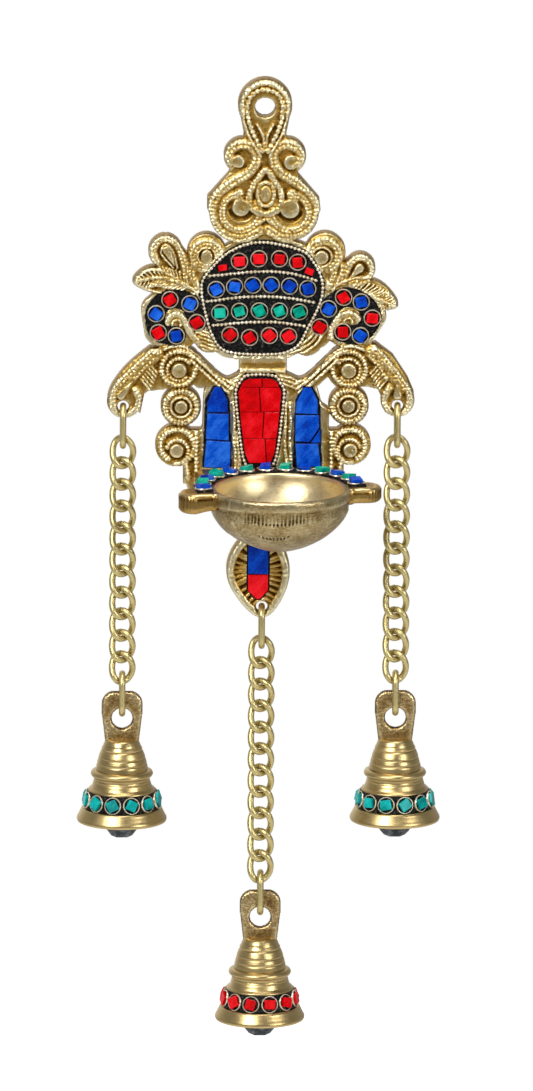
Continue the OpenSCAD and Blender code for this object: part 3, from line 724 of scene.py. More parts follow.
def brass(name, hollow, middle, ridge, rough, pit, pit_size, carved=False, stain=0.45, mottle=0.35,
          lines=0.0):
    """Aged brass: dark in its hollows from patina and painted shade, nearly black in the deepest, pale where
    it is worn, with cast pits and level scratches.
    """
    s = new_look(name)
    # Painted shade with patina in hollows and corners, pale worn ridges and edges: from the relief share, or
    # else from the mesh's pointiness
    wear_and_shade = (s.node("Attribute", {"attribute_name": "relief"}).outputs["Fac"] if carved
            else s.edge_wear_and_shade(0.42, 0.58))
    speck = s.noise(pit_size, 2.0, 0.6)
    mixed = s.vary(s.vary(wear_and_shade, s.noise(7.0, 4.0), stain), speck, mottle)
    if lines:
        mixed = s.vary(mixed, s.noise(0.5, 2.0, 0.6, (0.12, 0.12, 2.2)), lines)
    # Near-black stop below the hollow colour: painted shade in the deepest hollows
    black = tuple(0.25 * c for c in linear(hollow)[:3]) + (1.0,)
    s.set(Base_Color=s.ramp(mixed, (0.0, black), (0.14, hollow), (0.5, middle), (0.92, ridge)),
          Roughness=s.ramp(mixed, (0.1, rough[0]), (0.9, rough[1])), Metallic=1.0, Normal=s.bump(speck, pit))
    return s.owner


def satin_brass(name, color, dark, rough, scratch=(1, 1, 6), depth=0.02, streak=0.2):
    """Drawn or turned brass with fine lines along one direction, painted shade in its corners and paler worn
    edges.
    """
    s = new_look(name)
    lines = s.noise(0.35, 2.0, 0.6, scratch)
    patch = s.noise(5.0, 3.0)
    # Corners get painted shade and edges are worn pale, from the mesh's pointiness
    mixed = s.plus(s.math("MULTIPLY", s.edge_wear_and_shade(0.4, 0.56), 0.7), patch, 0.45)
    s.set(Base_Color=s.ramp(s.vary(mixed, lines, streak), (0.15, dark), (0.6, color)),
          Roughness=s.ramp(s.plus(patch, lines, 0.3), (0.3, rough[0]), (0.9, rough[1])),
          Metallic=1.0, Normal=s.bump(lines, depth))
    return s.owner


def stone(name, deep, plain, pale):
    """Coloured chip: saturated, each a little different, with faint slanting bands and a scuffed gloss."""
    s = new_look(name)
    bands = s.noise(5.0, 3.0, 0.55, (1, 1, 1.5), 0.9)
    streaks = s.noise(1.6, 2.0, 0.6, (0.4, 1, 2.5), 0.9)
    scuff = s.noise(0.6, 3.0, 0.7, (1, 1, 2), -0.5)
    own = s.node("NewGeometry").outputs["Random Per Island"]
    mixed = s.vary(s.vary(s.vary(bands, own, 0.3), streaks, 0.35), scuff, 0.2)
    s.set(Base_Color=s.ramp(mixed, (0.28, deep), (0.5, plain), (0.76, pale)), Specular_IOR_Level=0.18,
          Roughness=s.ramp(scuff, (0.35, 0.2), (0.75, 0.44)), Normal=s.bump(s.plus(bands, scuff, 0.3), 0.08))
    return s.owner


def wire_look():
    """Drawn wire, slightly tarnished in patches, in a pale, near-white colour at half metalness that paints
    in the sheen of its highlights.
    """
    s = new_look("wire_brass")
    patch = s.noise(2.5, 3.0, 0.6)
    fine = s.noise(0.3, 2.0, 0.6)
    mixed = s.plus(s.math("MULTIPLY", patch, 0.7), fine, 0.3)
    # Painted sheen: the palest stop is near white, so the wire looks bright whatever it reflects; the darker
    # patches are tarnish
    s.set(Base_Color=s.ramp(mixed, (0.3, (160, 140, 106)), (0.48, (222, 208, 178)), (0.7, (252, 248, 236))),
          Roughness=s.ramp(patch, (0.3, 0.34), (0.8, 0.2)), Metallic=0.5, Normal=s.bump(fine, 0.02))
    return s.owner


def lac_look():
    """Black lac: uneven, with grey scrapes and glints."""
    s = new_look("black_lac")
    lump = s.noise(1.1, 4.0, 0.6)
    dust = s.noise(0.45, 3.0, 0.7)
    scrape = s.math("MULTIPLY", lump, dust)
    s.set(Base_Color=s.ramp(scrape, (0.2, (3, 3, 4)), (0.31, (14, 14, 15)), (0.44, (112, 110, 100))),
          Roughness=s.ramp(dust, (0.35, 0.18), (0.7, 0.5)), Specular_IOR_Level=0.12, Normal=s.bump(lump, 0.5))
    return s.owner


def iron_look():
    """Cast iron clapper: slate grey, rough, with paler worn edges."""
    s = new_look("clapper_iron")
    lump = s.noise(1.8, 5.0, 0.65)
    mixed = s.plus(lump, s.edge_wear_and_shade(0.5, 0.6), 0.3)
    s.set(Base_Color=s.ramp(mixed, (0.3, (26, 29, 32)), (0.6, (56, 61, 65)), (0.85, (116, 120, 122))),
          Roughness=s.ramp(lump, (0.3, 0.62), (0.8, 0.4)), Metallic=0.55, Normal=s.bump(lump, 0.2))
    return s.owner


CAST = brass("cast_brass", (146, 106, 36), (184, 152, 80), (238, 226, 184), (0.46, 0.32), 0.14, 0.5, True)
BOWL = brass("bowl_brass", (92, 70, 34), (164, 142, 96), (214, 200, 160), (0.44, 0.3), 0.22, 0.9,
             stain=0.6, mottle=0.75, lines=0.8)
LEDGE = brass("ledge_brass", (104, 72, 24), (182, 148, 84), (226, 204, 152), (0.42, 0.28), 0.08, 0.7, True)
INNER = satin_brass("bowl_polish", (214, 196, 154), (150, 122, 72), (0.3, 0.44), (0.35, 0.35, 0.5), 0.05, 0.9)
CHAIN = satin_brass("chain_brass", (208, 192, 136), (138, 114, 58), (0.32, 0.48))
BELL = satin_brass("bell_brass", (198, 174, 120), (112, 82, 36), (0.25, 0.42), (0.3, 0.3, 8), 0.006, 0.45)
LOOP = brass("loop_brass", (46, 32, 14), (158, 128, 78), (216, 194, 146), (0.5, 0.3), 0.25, 0.9, True,
             stain=0.9, mottle=0.9)
WIRE = wire_look()
RED = stone("red_stone", (178, 0, 4), (210, 0, 8), (232, 26, 38))
BLUE = stone("blue_stone", (0, 44, 150), (0, 70, 188), (36, 104, 212))
GREEN = stone("turquoise_stone", (0, 112, 92), (0, 156, 130), (28, 184, 160))
TEAL = stone("teal_stone", (0, 116, 114), (0, 154, 150), (24, 182, 180))
LAC = lac_look()
IRON = iron_look()


def plaque_outline(x, z):
    """Distance to the plaque's outline."""
    curved = spline([(29, -84.4), (25.5, -86.3), (20.6, -91.2), (15.4, -95.8), (11.5, -97)])
    shapes = [disc(x, z, (0, 0.7), 9.2)]
    shapes += [disc(x, z, v, v[2]) for v in CURLS + VOLUTES + PETALS + SCROLLS]
    shapes += [disc(x, z, c, r) for c, r in (((-18.5, -79.8), 5.4), ((14.6, -80.6), 5.6),
                                             ((-47.6, -102.2), 5.8), ((45.6, -101.6), 5.8),
                                             ((-21.6, -95), 2.6))]
    crest = [(-7.8, -12), (7.8, -12), (11.4, -23.2), (18.6, -31.6), (19, -35.4), (16, -43), (4, -47),
             (-4, -47), (-16, -43), (-19.6, -35), (-19.5, -31), (-12.3, -22.8)]
    body = [(7.8, -83), (7.8, -92.4), (12.4, -94.6), (17.4, -95.2), (18.9, -100), (19.7, -103.2),
            (22.4, -105), (22, -126), (27.2, -127.5), (25.5, -134), (17, -141), (16.4, -147.6), (8, -150),
            (-8, -150), (-16.6, -140.6), (-25.5, -134), (-27.2, -127.5), (-22, -126), (-22, -113.5),
            (-20.9, -111), (-20.7, -103), (-20.4, -98.5), (-18.8, -95.2), (-12.6, -94.6), (-8.5, -92.4),
            (-8.5, -83)]
    shapes += [polygon(x, z, p) for p in (
        [(-8.4, -3), (8.4, -3), (7.2, -9), (7.8, -13), (-7.8, -13), (-7.2, -9)],
        crest,
        [(-38.6, -52.8), (-28.4, -48), (-24, -54), (-14, -56), (-18, -66), (-26, -66)],
        [(36.6, -58.8), (30.4, -51.2), (26, -54), (14, -56), (18, -66), (27, -66)],
        spline(LEFT_LEAF, 4, True), spline(RIGHT_LEAF, 4, True), spline(TAIL, 4, True),
        [(-33, -70), (-27, -70), (-24, -76), (-27, -82), (-33, -77)],
        [(33, -70), (27, -69), (22, -76), (26, -80), (33, -76)],
        body,
        np.r_[[(-31, -83)], spline([(-39.1, -83.4), (-46.5, -89.7), (-51.4, -96), (-53.3, -100.5)]),
              [(-42, -106.3), (-40.7, -99.6), (-39.2, -98.5), (-35, -98.2), (-28, -97)]],
        [(31, -82.4), (38.2, -81.8), (43.9, -86.2), (49, -94), (51.2, -99.2), (41.4, -106.2), (40, -100.4),
         (38.8, -97.8), (35.6, -97), (28, -97)],
        *([(m * 21.4, -112), (m * 27.4, -112), (m * 27.4, -131), (m * 21.4, -131)] for m in (1, -1)))]
    shapes.append(polygon(x, z, spline(POT_EDGE, 4, True)) - 2.6)
    for path, half in ((np.array(LEFT_HORN, float), 5), (np.array(RIGHT_HORN, float), 5),
                       (curved, 2.6), (curved * (-1, 1), 2.6)):
        shapes.append(along(x, z, path)[0] - half)
    return np.minimum.reduce(shapes)


def lac_recess(x, z):
    """Distance to the recesses of the pot and the horns."""
    shapes = [polygon(x, z, spline(POT_EDGE, 4, True)) - POT_LAC]
    shapes += [along(x, z, spline(h[1:-1], 4))[0] - HORN_LAC for h in (LEFT_HORN, RIGHT_HORN)]
    return np.minimum.reduce(shapes)


def tile_recess(x, z):
    """Distance to the recesses of the tiled panels."""
    panels = [(RED_PANEL, RED_MID, RED_MARGIN), (TAIL_PANEL, TAIL_MID, TAIL_MARGIN)]
    panels += [(BLUE_PANEL, m, BLUE_MARGIN) for m in BLUE_MIDS]
    return np.minimum.reduce([polygon(x, z, panel(*p)) for p in panels])


def carve_crest(s):
    """Hanging eye, curls, straps and volutes. As in the next four, a path's numbers are those of ridge
    and band."""
    s.ridge(np.r_[[(-7.2, -8.4), (-8.1, -4)], arc((0, 0.7), 8.0, 195, -15), [(8.1, -4), (7.2, -8.4)]],
            1.3, 1.2)
    drop = np.r_[arc((0, 0.3), 6.1, 90, 195),
                 spline([(-5.9, -1.6), (-5.5, -4.6), (-4.3, -8), (-2.8, -11.4), (-1, -15)])]
    line = spline([(-6.9, -5.8), (-5.6, -9.4), (-3.8, -12.6), (-1.4, -16.8)])
    for m in (1, -1):
        s.ridge(drop * (m, 1), 0.95, 1.6, 1.75, 0.7)
        s.ridge(line * (m, 1), 0.5, 1.4)
        s.ridge([(m * 2.7, -5.8), (m * 0.7, -9.4), (m * 0.3, -15)], 0.55, 1.0)
    for m, eye in ((-1, (-9.1, -18.5, 2.3)), (1, (8.9, -18.8, 2.6))):
        strap = [(12.2, -20), (12.5, -16.6), (10.8, -13.7), (7.4, -12.6), (4.4, -13.6), (2.9, -16.2),
                 (3.3, -19.6), (5.4, -22.4), (8.8, -24.6), (12.2, -26.8), (16, -30.2), (17.8, -34.6),
                 (17.4, -39.2), (15.2, -42.7), (11.2, -44.9), (6.2, -44.9), (1.6, -42.5)]
        s.band(spline([(m * x, z) for x, z in strap]), 1.7, 1.2, 1.35)
        s.dome(eye, eye[2], eye[2], 2.0)
        s.ridge([(m * 12, -18.6), eye[:2]], 2.3, 1.1, blunt=0.3)
    for c, eye in (((-8.2, -36.2), (-8.1, -34.4, 3.1)), ((8.7, -36.2), (8.6, -34.9, 3.4))):
        m = math.copysign(1, c[0])
        s.hollow(arc((eye[0], eye[1] - 0.6), 3.6, 195, 345), 1.0, 0.8)
        s.band(arc(c, 6.4, 90 - m * 10, 90 - m * 300), 1.25, 1.15, 1.25)
        s.dome(eye, eye[2], eye[2], 2.1)
        s.ridge([(c[0] + m * 0.6, -30), (eye[0] + m * 0.8, -33)], 2.0, 1.1, blunt=0.3)
    drop = spline([(0.4, -21.6), (-2.6, -25), (-4.9, -29), (-5.2, -32), (-4, -35), (0.3, -36.6), (4.6, -35),
                   (5.6, -32), (5.3, -29), (3, -25)], 6, True)
    s.ridge(drop, 1.3, 1.2)
    s.ridge(beside(drop, -0.5), 0.8, 1.55, 1.25, 0.6)
    oval = arc((0, 0), 1, 0, 360, 40) * (2.9, 4.1) + (0.3, -29.8)
    s.ridge(oval, 0.65, 1.8)
    s.dome((0.3, -29.8), 2.3, 3.4, 1.5)
    s.ridge([(-1.8, -39.8), (0.4, -38), (2.4, -39.8)], 0.9, 1.1)


def carve_spray(s):
    """Petals and leaves beside the pot."""
    s.band(arc((-19.7, -51.3), 4.6, -20, 300), 1.45, 1.15, 1.3)
    s.ridge(arc((-19.7, -51.4), 3.0, 0, 360), 0.4, 1.4)
    s.dome((-19.7, -51.6), 2.1, 2.7, 1.9)
    s.band(spline([(-23.9, -53.6), (-24.7, -58), (-22.6, -62.8)]), 1.3, 1.1, 1.3)
    s.band(spline([(-36.6, -54), (-38, -49.8), (-36.2, -46.4), (-33.2, -45.4), (-29.9, -47.2), (-28, -51.5),
                   (-26.8, -56), (-25.4, -60.4)]), 1.45, 1.15, 1.3)
    s.ridge(spline([(-31, -55.4), (-35.2, -50.4), (-33.6, -47.4), (-31, -50), (-29.6, -55.6)]), 0.42, 1.4)
    s.drop((-33.1, -49.4), (-30.6, -54.6), 1.6, 1.8)
    s.band(arc((20.2, -51.2), 5.0, -70, 250), 1.5, 1.2, 1.4)
    s.ridge(arc((19.6, -51.6), 3.3, -90, 150), 0.42, 1.4)
    s.dome((19.4, -51.8), 2.5, 2.5, 2.0)
    s.band(spline([(24, -53.9), (23.6, -58.2), (21.8, -62)]), 1.25, 1.1, 1.35)
    s.ridge(spline([(26.6, -54.2), (25.9, -58), (24.2, -61.4)]), 0.7, 1.2)
    s.band(spline([(26.8, -60), (28.4, -55.2), (31, -52.2), (34.2, -52), (36.6, -54.8), (36.4, -58),
                   (34, -59.8), (29.8, -61)]), 1.35, 1.2, 1.35)
    s.drop((32.4, -55.5), (29.2, -58.8), 1.6, 1.8)
    for rib, outline in ((spline([(-24.4, -62.8), (-30, -60.2), (-36, -58.8), (-43.4, -60.2)]), LEFT_LEAF),
                         (spline([(27, -63.4), (34, -64), (39.2, -66.4), (44.8, -69)]), RIGHT_LEAF)):
        s.ridge(rib, 0.6, 1.7)
        s.ridge(beside(spline(outline, 4, True), 0.8), 0.5, 1.2)
        ways = np.gradient(rib, axis=0)
        for k in range(2, len(rib)):
            d = ways[k] / np.linalg.norm(ways[k])
            n = np.array((-d[1], d[0]))
            for w in (1, -1):
                s.ridge([rib[k], rib[k] + 2.6 * d + w * 3.4 * n], 0.42, 1.1)


def carve_pot(s):
    """Basket corners under the pot, the curls inside the horns and the neck."""
    for i in range(6):
        s.ridge([(-23.4 + 0.5 * i, -76.4 - 1.5 * i), (-16.4, -79 - 1.3 * i)], 0.55, 0.9)
    flow = spline([(20.4, -77.4), (17.6, -82), (12, -85.6), (6, -87)])
    for k in range(3):
        s.ridge(beside(flow, -1.5 * k), 0.6, 1.1)
    left = [(-33.4, -76.2), (-32.8, -73.6), (-30.4, -71.7), (-27.8, -72.8), (-26.3, -75.4), (-24.9, -78.3),
            (-22.4, -81.4)]
    right = [(22.6, -79.6), (23.4, -75.8), (25.4, -72.8), (28.4, -71.4), (31.2, -72.4), (32.6, -74.4)]
    for arch, c in ((left, (-29.8, -75.2)), (right, (28.6, -74.4))):
        s.ridge(spline(arch), 1.35, 1.1, blunt=0.35)
        s.ridge(beside(spline(arch), 0.5), 0.5, 0.35, 1.25, 1.0, None)
        s.ridge(arc(c, 1.5, 200, -20), 0.55, 1.1)
    for z, half in ((-87.4, 1.5), (-91.4, 0.8)):
        s.ridge([(-9, z), (8.4, z)], half, 0.5)
    for m in (-1, 1):
        for k in range(4):
            begin = (RED_MID + m * (6.6 + 0.4 * k), -91.4 - 1.5 * k)
            s.ridge([begin, (m * (10.4 + 0.5 * k), -92.6 - 1.7 * k)], 0.55, 1.0)


def carve_arms(s):
    """Scroll columns, straps, chain lugs and the flutes between the panels."""
    for i, (x, z, r, eye) in enumerate(SCROLLS):
        m = math.copysign(1, x)
        if i % 3 == 1:
            s.ridge(arc((x, z), r - 1.5, 0, 360, 60), 1.3, 1.25, 1.2, 0.75)
            s.ridge(arc((x, z), r - 3.4, 0, 360, 48), 0.6, 1.25)
            s.dome((x, z), eye, eye, 2.0)
        elif i % 3 == 0:
            first = 90 + 55 * m
            s.ridge(spiral((x, z), r - 1.2, r - 2.1, first, first - m * 330), 1.15, 1.25, 1.2, 0.7)
            s.ridge(spiral((x, z - 0.6), eye + 1.7, eye + 0.8, first, first - m * 280), 0.85, 1.15, 1.15, 0.7)
            s.dome((x, z - 0.6), eye, eye, 2.0)
        else:
            first = 90 + 150 * m
            coil = spiral((x, z), r - 1.2, r - 2.0, first, first - m * 300)
            s.ridge(np.r_[[(m * 25.6, -129)], coil], 1.2, 1.25, 1.2, 0.7)
            s.ridge(spiral((x, z - 1.7), eye + 1.9, eye + 1.0, first + 40 * m, first - m * 220),
                    0.9, 1.15, 1.15, 0.7)
            s.dome((x, z - 1.7), eye, eye, 2.0)
    strap = spline([(-33.5, -85.4), (-29.4, -84.2), (-24.4, -86), (-19.6, -90.2), (-15.4, -94.2),
                    (-11, -97.6)])
    for m in (1, -1):
        for w, begin in ((1.6, 0), (0, 8), (-1.7, 12)):
            s.ridge(beside(strap, w)[begin:] * (m, 1), 0.7, 1.3, 1.3 if m > 0 else 0, 0.6)
    left = [[(-37.4, -84.4), (-42, -88.7), (-47.2, -93.7), (-50.4, -97.4), (-51.4, -100.8), (-51.2, -104),
             (-48.8, -106.8), (-45.6, -106.6), (-43.2, -104.2), (-42.6, -101), (-43.6, -98.2)],
            [(-36.2, -86.4), (-40.6, -90.2), (-43.6, -94)], [(-48.6, -100), (-44.6, -94.9)],
            [(-36.6, -85.6), (-41.4, -89.6), (-45.6, -94.2), (-48, -98)]]
    right = [[(37.4, -83.6), (41.2, -87.2), (43.6, -90.2), (46.6, -94.4), (49, -97.8), (49.8, -101),
              (49.2, -104.2), (46.8, -106.7), (44.2, -106.4), (42.2, -104.8), (41, -102.2), (41.6, -99.4),
              (43, -97)],
             [(35.6, -86), (39.4, -90), (41.8, -94)], [(45.6, -100), (45.2, -95.4)],
             [(36.6, -85.2), (40.6, -88.8), (44, -93), (46.4, -97)]]
    for outer, inner, leaf, middle in (left, right):
        m = math.copysign(1, leaf[0][0])
        s.band(spline(outer), 1.25, 1.2, 1.3)
        s.ridge(spline(inner), 0.8, 1.2, 1.3, 0.6)
        s.drop(leaf[0], leaf[1], 1.5, 1.7)
        s.ridge(spline(middle), 2.5, 0.95)
        for k in range(6):
            s.ridge([(m * (41.8 - 0.7 * k), -94.4 + 0.9 * k), (m * (38.8 - 0.5 * k), -98.2 + 1.2 * k)],
                    0.5, 0.9)
    for x in (-22.9, 23.1):
        s.ridge([(x, -110), (x, -129)], 0.9, 1.15, 1.4, 0.7)
    for x, lean in ((-10.4, 0.8), (-8.6, 0.3), (7.2, 0.5), (9, 0.2)):
        wave = [(x + lean * t + 0.2 * math.sin(9 * t), -103 - 24 * t) for t in np.linspace(0, 1, 16)]
        s.ridge(wave, 0.7, 1.0)


def carve_tail(s):
    """Rim and gadroons of the tail leaf."""
    rim = spline(TAIL, 6, True)
    s.ridge(beside(rim, 1.3), 1.5, 0.8, blunt=0.3)
    inner, deep = beside(rim, 2.6), beside(rim, 6.6)
    length = lengths(rim)
    for t in np.arange(0, length[-1], 2.2):
        k = int(np.searchsorted(length, t))
        s.ridge([inner[k], deep[k]], 0.74, 1.2, base=GROUND - 1.0, blunt=0.4)


def build_plaque():
    """Cast plaque as one relief."""
    s = Sheet((-54.5, -179.5), (53.5, 11.5), PLAQUE_STEP)
    s.edge = plaque_outline(s.x, s.z)
    for center, radius in [((0, 0), EYE_HOLE_R)] + [(c, LUG_HOLE_R) for c in LUGS]:
        s.edge = np.maximum(s.edge, -disc(s.x, s.z, center, radius))
    s.settle_edge()
    s.front = np.full(s.x.shape, GROUND)
    tail_floor = np.clip((-polygon(s.x, s.z, spline(TAIL, 4, True)) - TAIL_RIM) / 0.8, 0, 1)
    s.front -= np.where(s.z < TAIL_TOP - 3, tail_floor, 0)
    for carve in (carve_crest, carve_spray, carve_pot, carve_arms, carve_tail):
        carve(s)
    raised = np.clip((s.front - GROUND - 0.4) / 0.4, 0, 1) * ~s.plain * (s.z > TAIL_TOP)
    pits = np.clip((grain(s.x, s.z, 0.95, 3) - 0.2) / 0.5, 0, 1) * raised
    u, v = s.x + 0.6 * grain(s.x, s.z, 3.0, 7), s.z + 0.6 * grain(s.x, s.z, 3.0, 8)
    dots = np.clip(np.cos(DOT_TURN * (u + v)) * np.cos(DOT_TURN * (u - v)), -0.2, 1)
    s.front = np.minimum(s.front, PLATE_T + BAND_H - worn(-s.edge, EDGE_ROUND + BAND_H))
    uneven = s.beads + 0.1 * grain(s.x, s.z, 2.6, 4) + 0.1 * grain(s.x, s.z, 0.8, 5)
    s.front += uneven + DOT_H * dots * raised - PIT_D * pits
    rim = np.clip((EDGE_ROUND + s.edge) / EDGE_ROUND, 0, 1)
    lugs = np.minimum.reduce([disc(s.x, s.z, c, LUG_POCKET_R) for c in LUGS])
    cap = PLATE_T + np.where(lugs < 0, LUG_CAP_H, CAP_H)
    s.front = np.minimum(s.front - 0.1 * rim * grain(s.x, s.z, 3.0, 6), cap)
    recess = np.minimum(lac_recess(s.x, s.z), tile_recess(s.x, s.z))
    s.front = np.where(recess < 0, RECESS_Y, s.front)
    back = np.where(lugs < 0, LUG_BACK, 0.0)
    spare = []
    for lug in LUGS:
        for r in (LUG_POCKET_R - 0.3, LUG_POCKET_R + 0.3):
            spare += arc(lug, r, 0, 355, 60).tolist()
    spare += [(x, z) for x in np.arange(-50, 50, 4.0) for z in np.arange(-175, 8, 4.0)]
    points, faces, share = s.mesh(back, spare=spare)
    # Painted shadow of the bowl: inside its rim the tail leaf's relief shares are cut to 0.64, so its brass
    # takes the darker hollow colours
    tail_in_bowl_shadow = polygon(points[:, 0], points[:, 1], spline(TAIL, 4, True)) < -TAIL_RIM - 0.1
    share = share * np.where(tail_in_bowl_shadow, 0.64, 1)
    add_piece("plaque_casting", (upright(points), faces), CAST, "plaque", ["back_plate"], 0,
              share)


def build_lac():
    """Black lac in the recesses of the plaque."""
    s = Sheet((-43, -174), (43, -44), 0.5)
    beds, panels = lac_recess(s.x, s.z), tile_recess(s.x, s.z)
    s.edge = np.minimum(beds, panels)
    s.settle_edge(2.0)
    lumps = 0.16 * grain(s.x, s.z, 2.2, 11) + 0.14 * grain(s.x, s.z, 1.0, 12)
    s.front = np.where(beds < panels, LAC_Y, TILE_Y + 0.3) + lumps
    points, faces, _ = s.mesh(np.full(s.x.shape, RECESS_Y))
    add_piece("lac_filling", (upright(points), faces), LAC, "plaque", ["lac_beds"], 0)


def bead_row(path, height):
    """Beads on a thin wire along a path on the plaque, at a depth in front of the wall."""
    step = lengths(path)
    count = int(step[-1] / BEAD_PITCH)
    ball, faces = lathe([(BEAD_R * math.sin(a), BEAD_R * math.cos(a))
                         for a in np.linspace(0, math.pi, 8)], 10)
    rng = np.random.default_rng(len(path))
    parts = []
    for k in range(count):
        t = (k + 0.5) * step[-1] / count
        x, z = np.interp(t, step, path[:, 0]), np.interp(t, step, path[:, 1])
        nudge = rng.uniform(-0.07, 0.07, 3)
        size = rng.uniform(0.9, 1.06)
        parts.append((ball * size + (x + nudge[0], -height - BEAD_LIFT + nudge[1], z + nudge[2]), faces))
    core = np.c_[path[:, 0], np.full(len(path), -height - CORE_LIFT), path[:, 1]]
    parts.append(tube(core[::2], CORE_R, 6, False))
    return parts


def build_beads():
    """Beaded wires round the pot, between its bands and round the red panel."""
    parts = bead_row(beside(spline(POT_EDGE, 8, True), -0.35), LAC_Y)
    for d in DIVIDERS:
        parts += bead_row(spline(d, 8), LAC_Y)
    outline = panel(RED_PANEL, RED_MID, 0.95)
    half = len(RED_PANEL)
    parts += bead_row(spline(outline[half:] + outline[:half], 6), TILE_Y + 0.2)
    add_piece("beaded_wires", joined(parts), WIRE, "plaque", ["bead_wires"], 0)


def wire_ring(rng, h=RING_H):
    """Bent wire ring standing along Z, a little out of round."""
    r, w = RING_R - RING_WALL / 2, RING_WALL / 2
    points, faces = lathe([(r - w, 0.05), (r + w, 0.05), (r + w, h - 0.2), (r + 0.4 * w, h), (r - 0.4 * w, h),
                           (r - w, h - 0.2), (r - w, h * 0.25)], 36, True)
    _, a = polar(points)
    points[:, :2] *= (1 + 0.014 * np.cos(2 * (a - rng.uniform(0, math.pi))))[:, None]
    points[:, 2] += np.where(points[:, 2] > 0.3, 0.07 * np.cos(a - rng.uniform(0, 6.3)), 0)
    return points, faces


def chip(rng, size=CHIP):
    """Square stone standing along Z, with a leaning top."""
    w, d, h, lean = size
    outline = chip_outline(w * rng.uniform(0.93, 1.06), d * rng.uniform(0.92, 1.06), rng)
    return prism(outline, 0.05, h * rng.uniform(0.94, 1.05), 0.14, rng.uniform(-lean, lean, 2))


def ledge_spot(i):
    """Place of a ledge setting, and the angle that turns it round the bowl."""
    a = BOWL_YAW + math.radians(1.5 + 177 * i / (LEDGE_STONES - 1))
    return (BOWL_X + LEDGE_ARC_R * math.cos(a), BOWL_Y + LEDGE_ARC_R * math.sin(a),
            RIM_Z + LEDGE_LAC_T - SEAT_D), a


def build_settings():
    """Stones in their rings on the plaque and on the ledge, and the tiles of the panels."""
    rng = np.random.default_rng(21)
    rings, chips = [], {"red": [], "blue": [], "green": []}
    for key, places in (("red", RED_SET), ("blue", BLUE_SET), ("green", GREEN_SET)):
        for x, z, turn in places:
            origin = (x, SEAT_D - LAC_Y, z)
            rings.append(seated(wire_ring(rng), origin, ON_WALL))
            chips[key].append(seated(chip(rng), origin, ON_WALL, math.radians(turn)))
    for x, z, turn in CORNER_SET:
        chips["red"].append(seated(chip(rng, CORNER_CHIP), (x, -LAC_Y, z), ON_WALL, math.radians(turn)))
    for i in range(LEDGE_STONES):
        origin, a = ledge_spot(i)
        rings.append(seated(wire_ring(rng, LEDGE_RING_H), origin, FLAT))
        key = "green" if i % 2 else "blue"
        chips[key].append(seated(chip(rng, LEDGE_CHIP), origin, FLAT, a + rng.uniform(-0.5, 0.5)))
    chips["red"] += panel_tiles(panel(RED_PANEL, RED_MID, 0), RED_MID, RED_ROWS, RED_CUTS, rng)
    chips["blue"] += [tile(shape, rng) for shape in BLUE_TILES]
    tail = panel(TAIL_PANEL, TAIL_MID, 0)
    chips["blue"] += panel_tiles(tail, TAIL_MID, TAIL_ROWS[:2], TAIL_CUTS, rng)
    chips["red"] += panel_tiles(tail, TAIL_MID, TAIL_ROWS[1:], TAIL_CUTS, rng)
    add_piece("stone_rings", joined(rings), WIRE, "plaque", ["bezel_rings"], 50)
    for key, look, slot in (("red", RED, "red_stone"), ("blue", BLUE, "blue_stone"),
                            ("green", GREEN, "turquoise_stone")):
        add_piece(key + "_inlay", joined(chips[key]), look, "plaque", [key + "_stones"], 25)


def clipped(outline, window):
    """Part of an outline inside a convex window, both as lists of points."""
    out = [np.array(p, float) for p in outline]
    w = [np.array(p, float) for p in window]
    for a, b in zip(w, w[1:] + w[:1]):
        kept = []
        side = [(b[0] - a[0]) * (p[1] - a[1]) - (b[1] - a[1]) * (p[0] - a[0]) for p in out]
        for i, p in enumerate(out):
            q, sp, sq = out[i - 1], side[i], side[i - 1]
            if (sp >= 0) != (sq >= 0):
                kept.append(q + (p - q) * sq / (sq - sp))
            if sp >= 0:
                kept.append(p)
        out = kept
        if not out:
            return []
    return out


def panel_tiles(outline, middle, rows, cuts, rng):
    """Hand-cut tiles that fill an outline, in rows of heights, each split at its cuts beside the middle."""
    parts = []
    for top, bottom, cut in zip(rows, rows[1:], cuts):
        low, high = bottom + TILE_GAP, top - TILE_GAP
        skew = rng.uniform(-0.3, 0.3, len(cut))
        for a, b, p, q in zip(cut, cut[1:], skew, skew[1:]):
            x0, x1 = middle + a + TILE_GAP, middle + b - TILE_GAP
            n = rng.uniform(-0.12, 0.12, 4)
            window = [(x0 + p, low + n[0]), (x1 + q, low + n[1]),
                      (x1 - q, high + n[2]), (x0 - p, high + n[3])]
            shape = clipped(outline, window)
            if len(shape) > 2:
                parts.append(tile(shape, rng))
    return parts


def tile(shape, rng):
    """Tile of a panel on an outline."""
    turn = sum(p[0] * q[1] - q[0] * p[1] for p, q in zip(shape, shape[1:] + shape[:1]))
    shape = shape if turn > 0 else shape[::-1]
    points, faces = prism(shape, TILE_Y, TILE_TOP + rng.uniform(-0.05, 0.15), 0.16,
                          rng.uniform(-0.03, 0.03, 2))
    return upright(points), faces


def hollow_curve(radius, depth, angles, top=0.0):
    """Profile of the bowl from its angles in degrees below the rim, for a radius and a depth."""
    return [(radius * math.cos(a) ** BOWL_TAPER, -top - (depth - top) * math.sin(a))
            for a in np.radians(angles)]


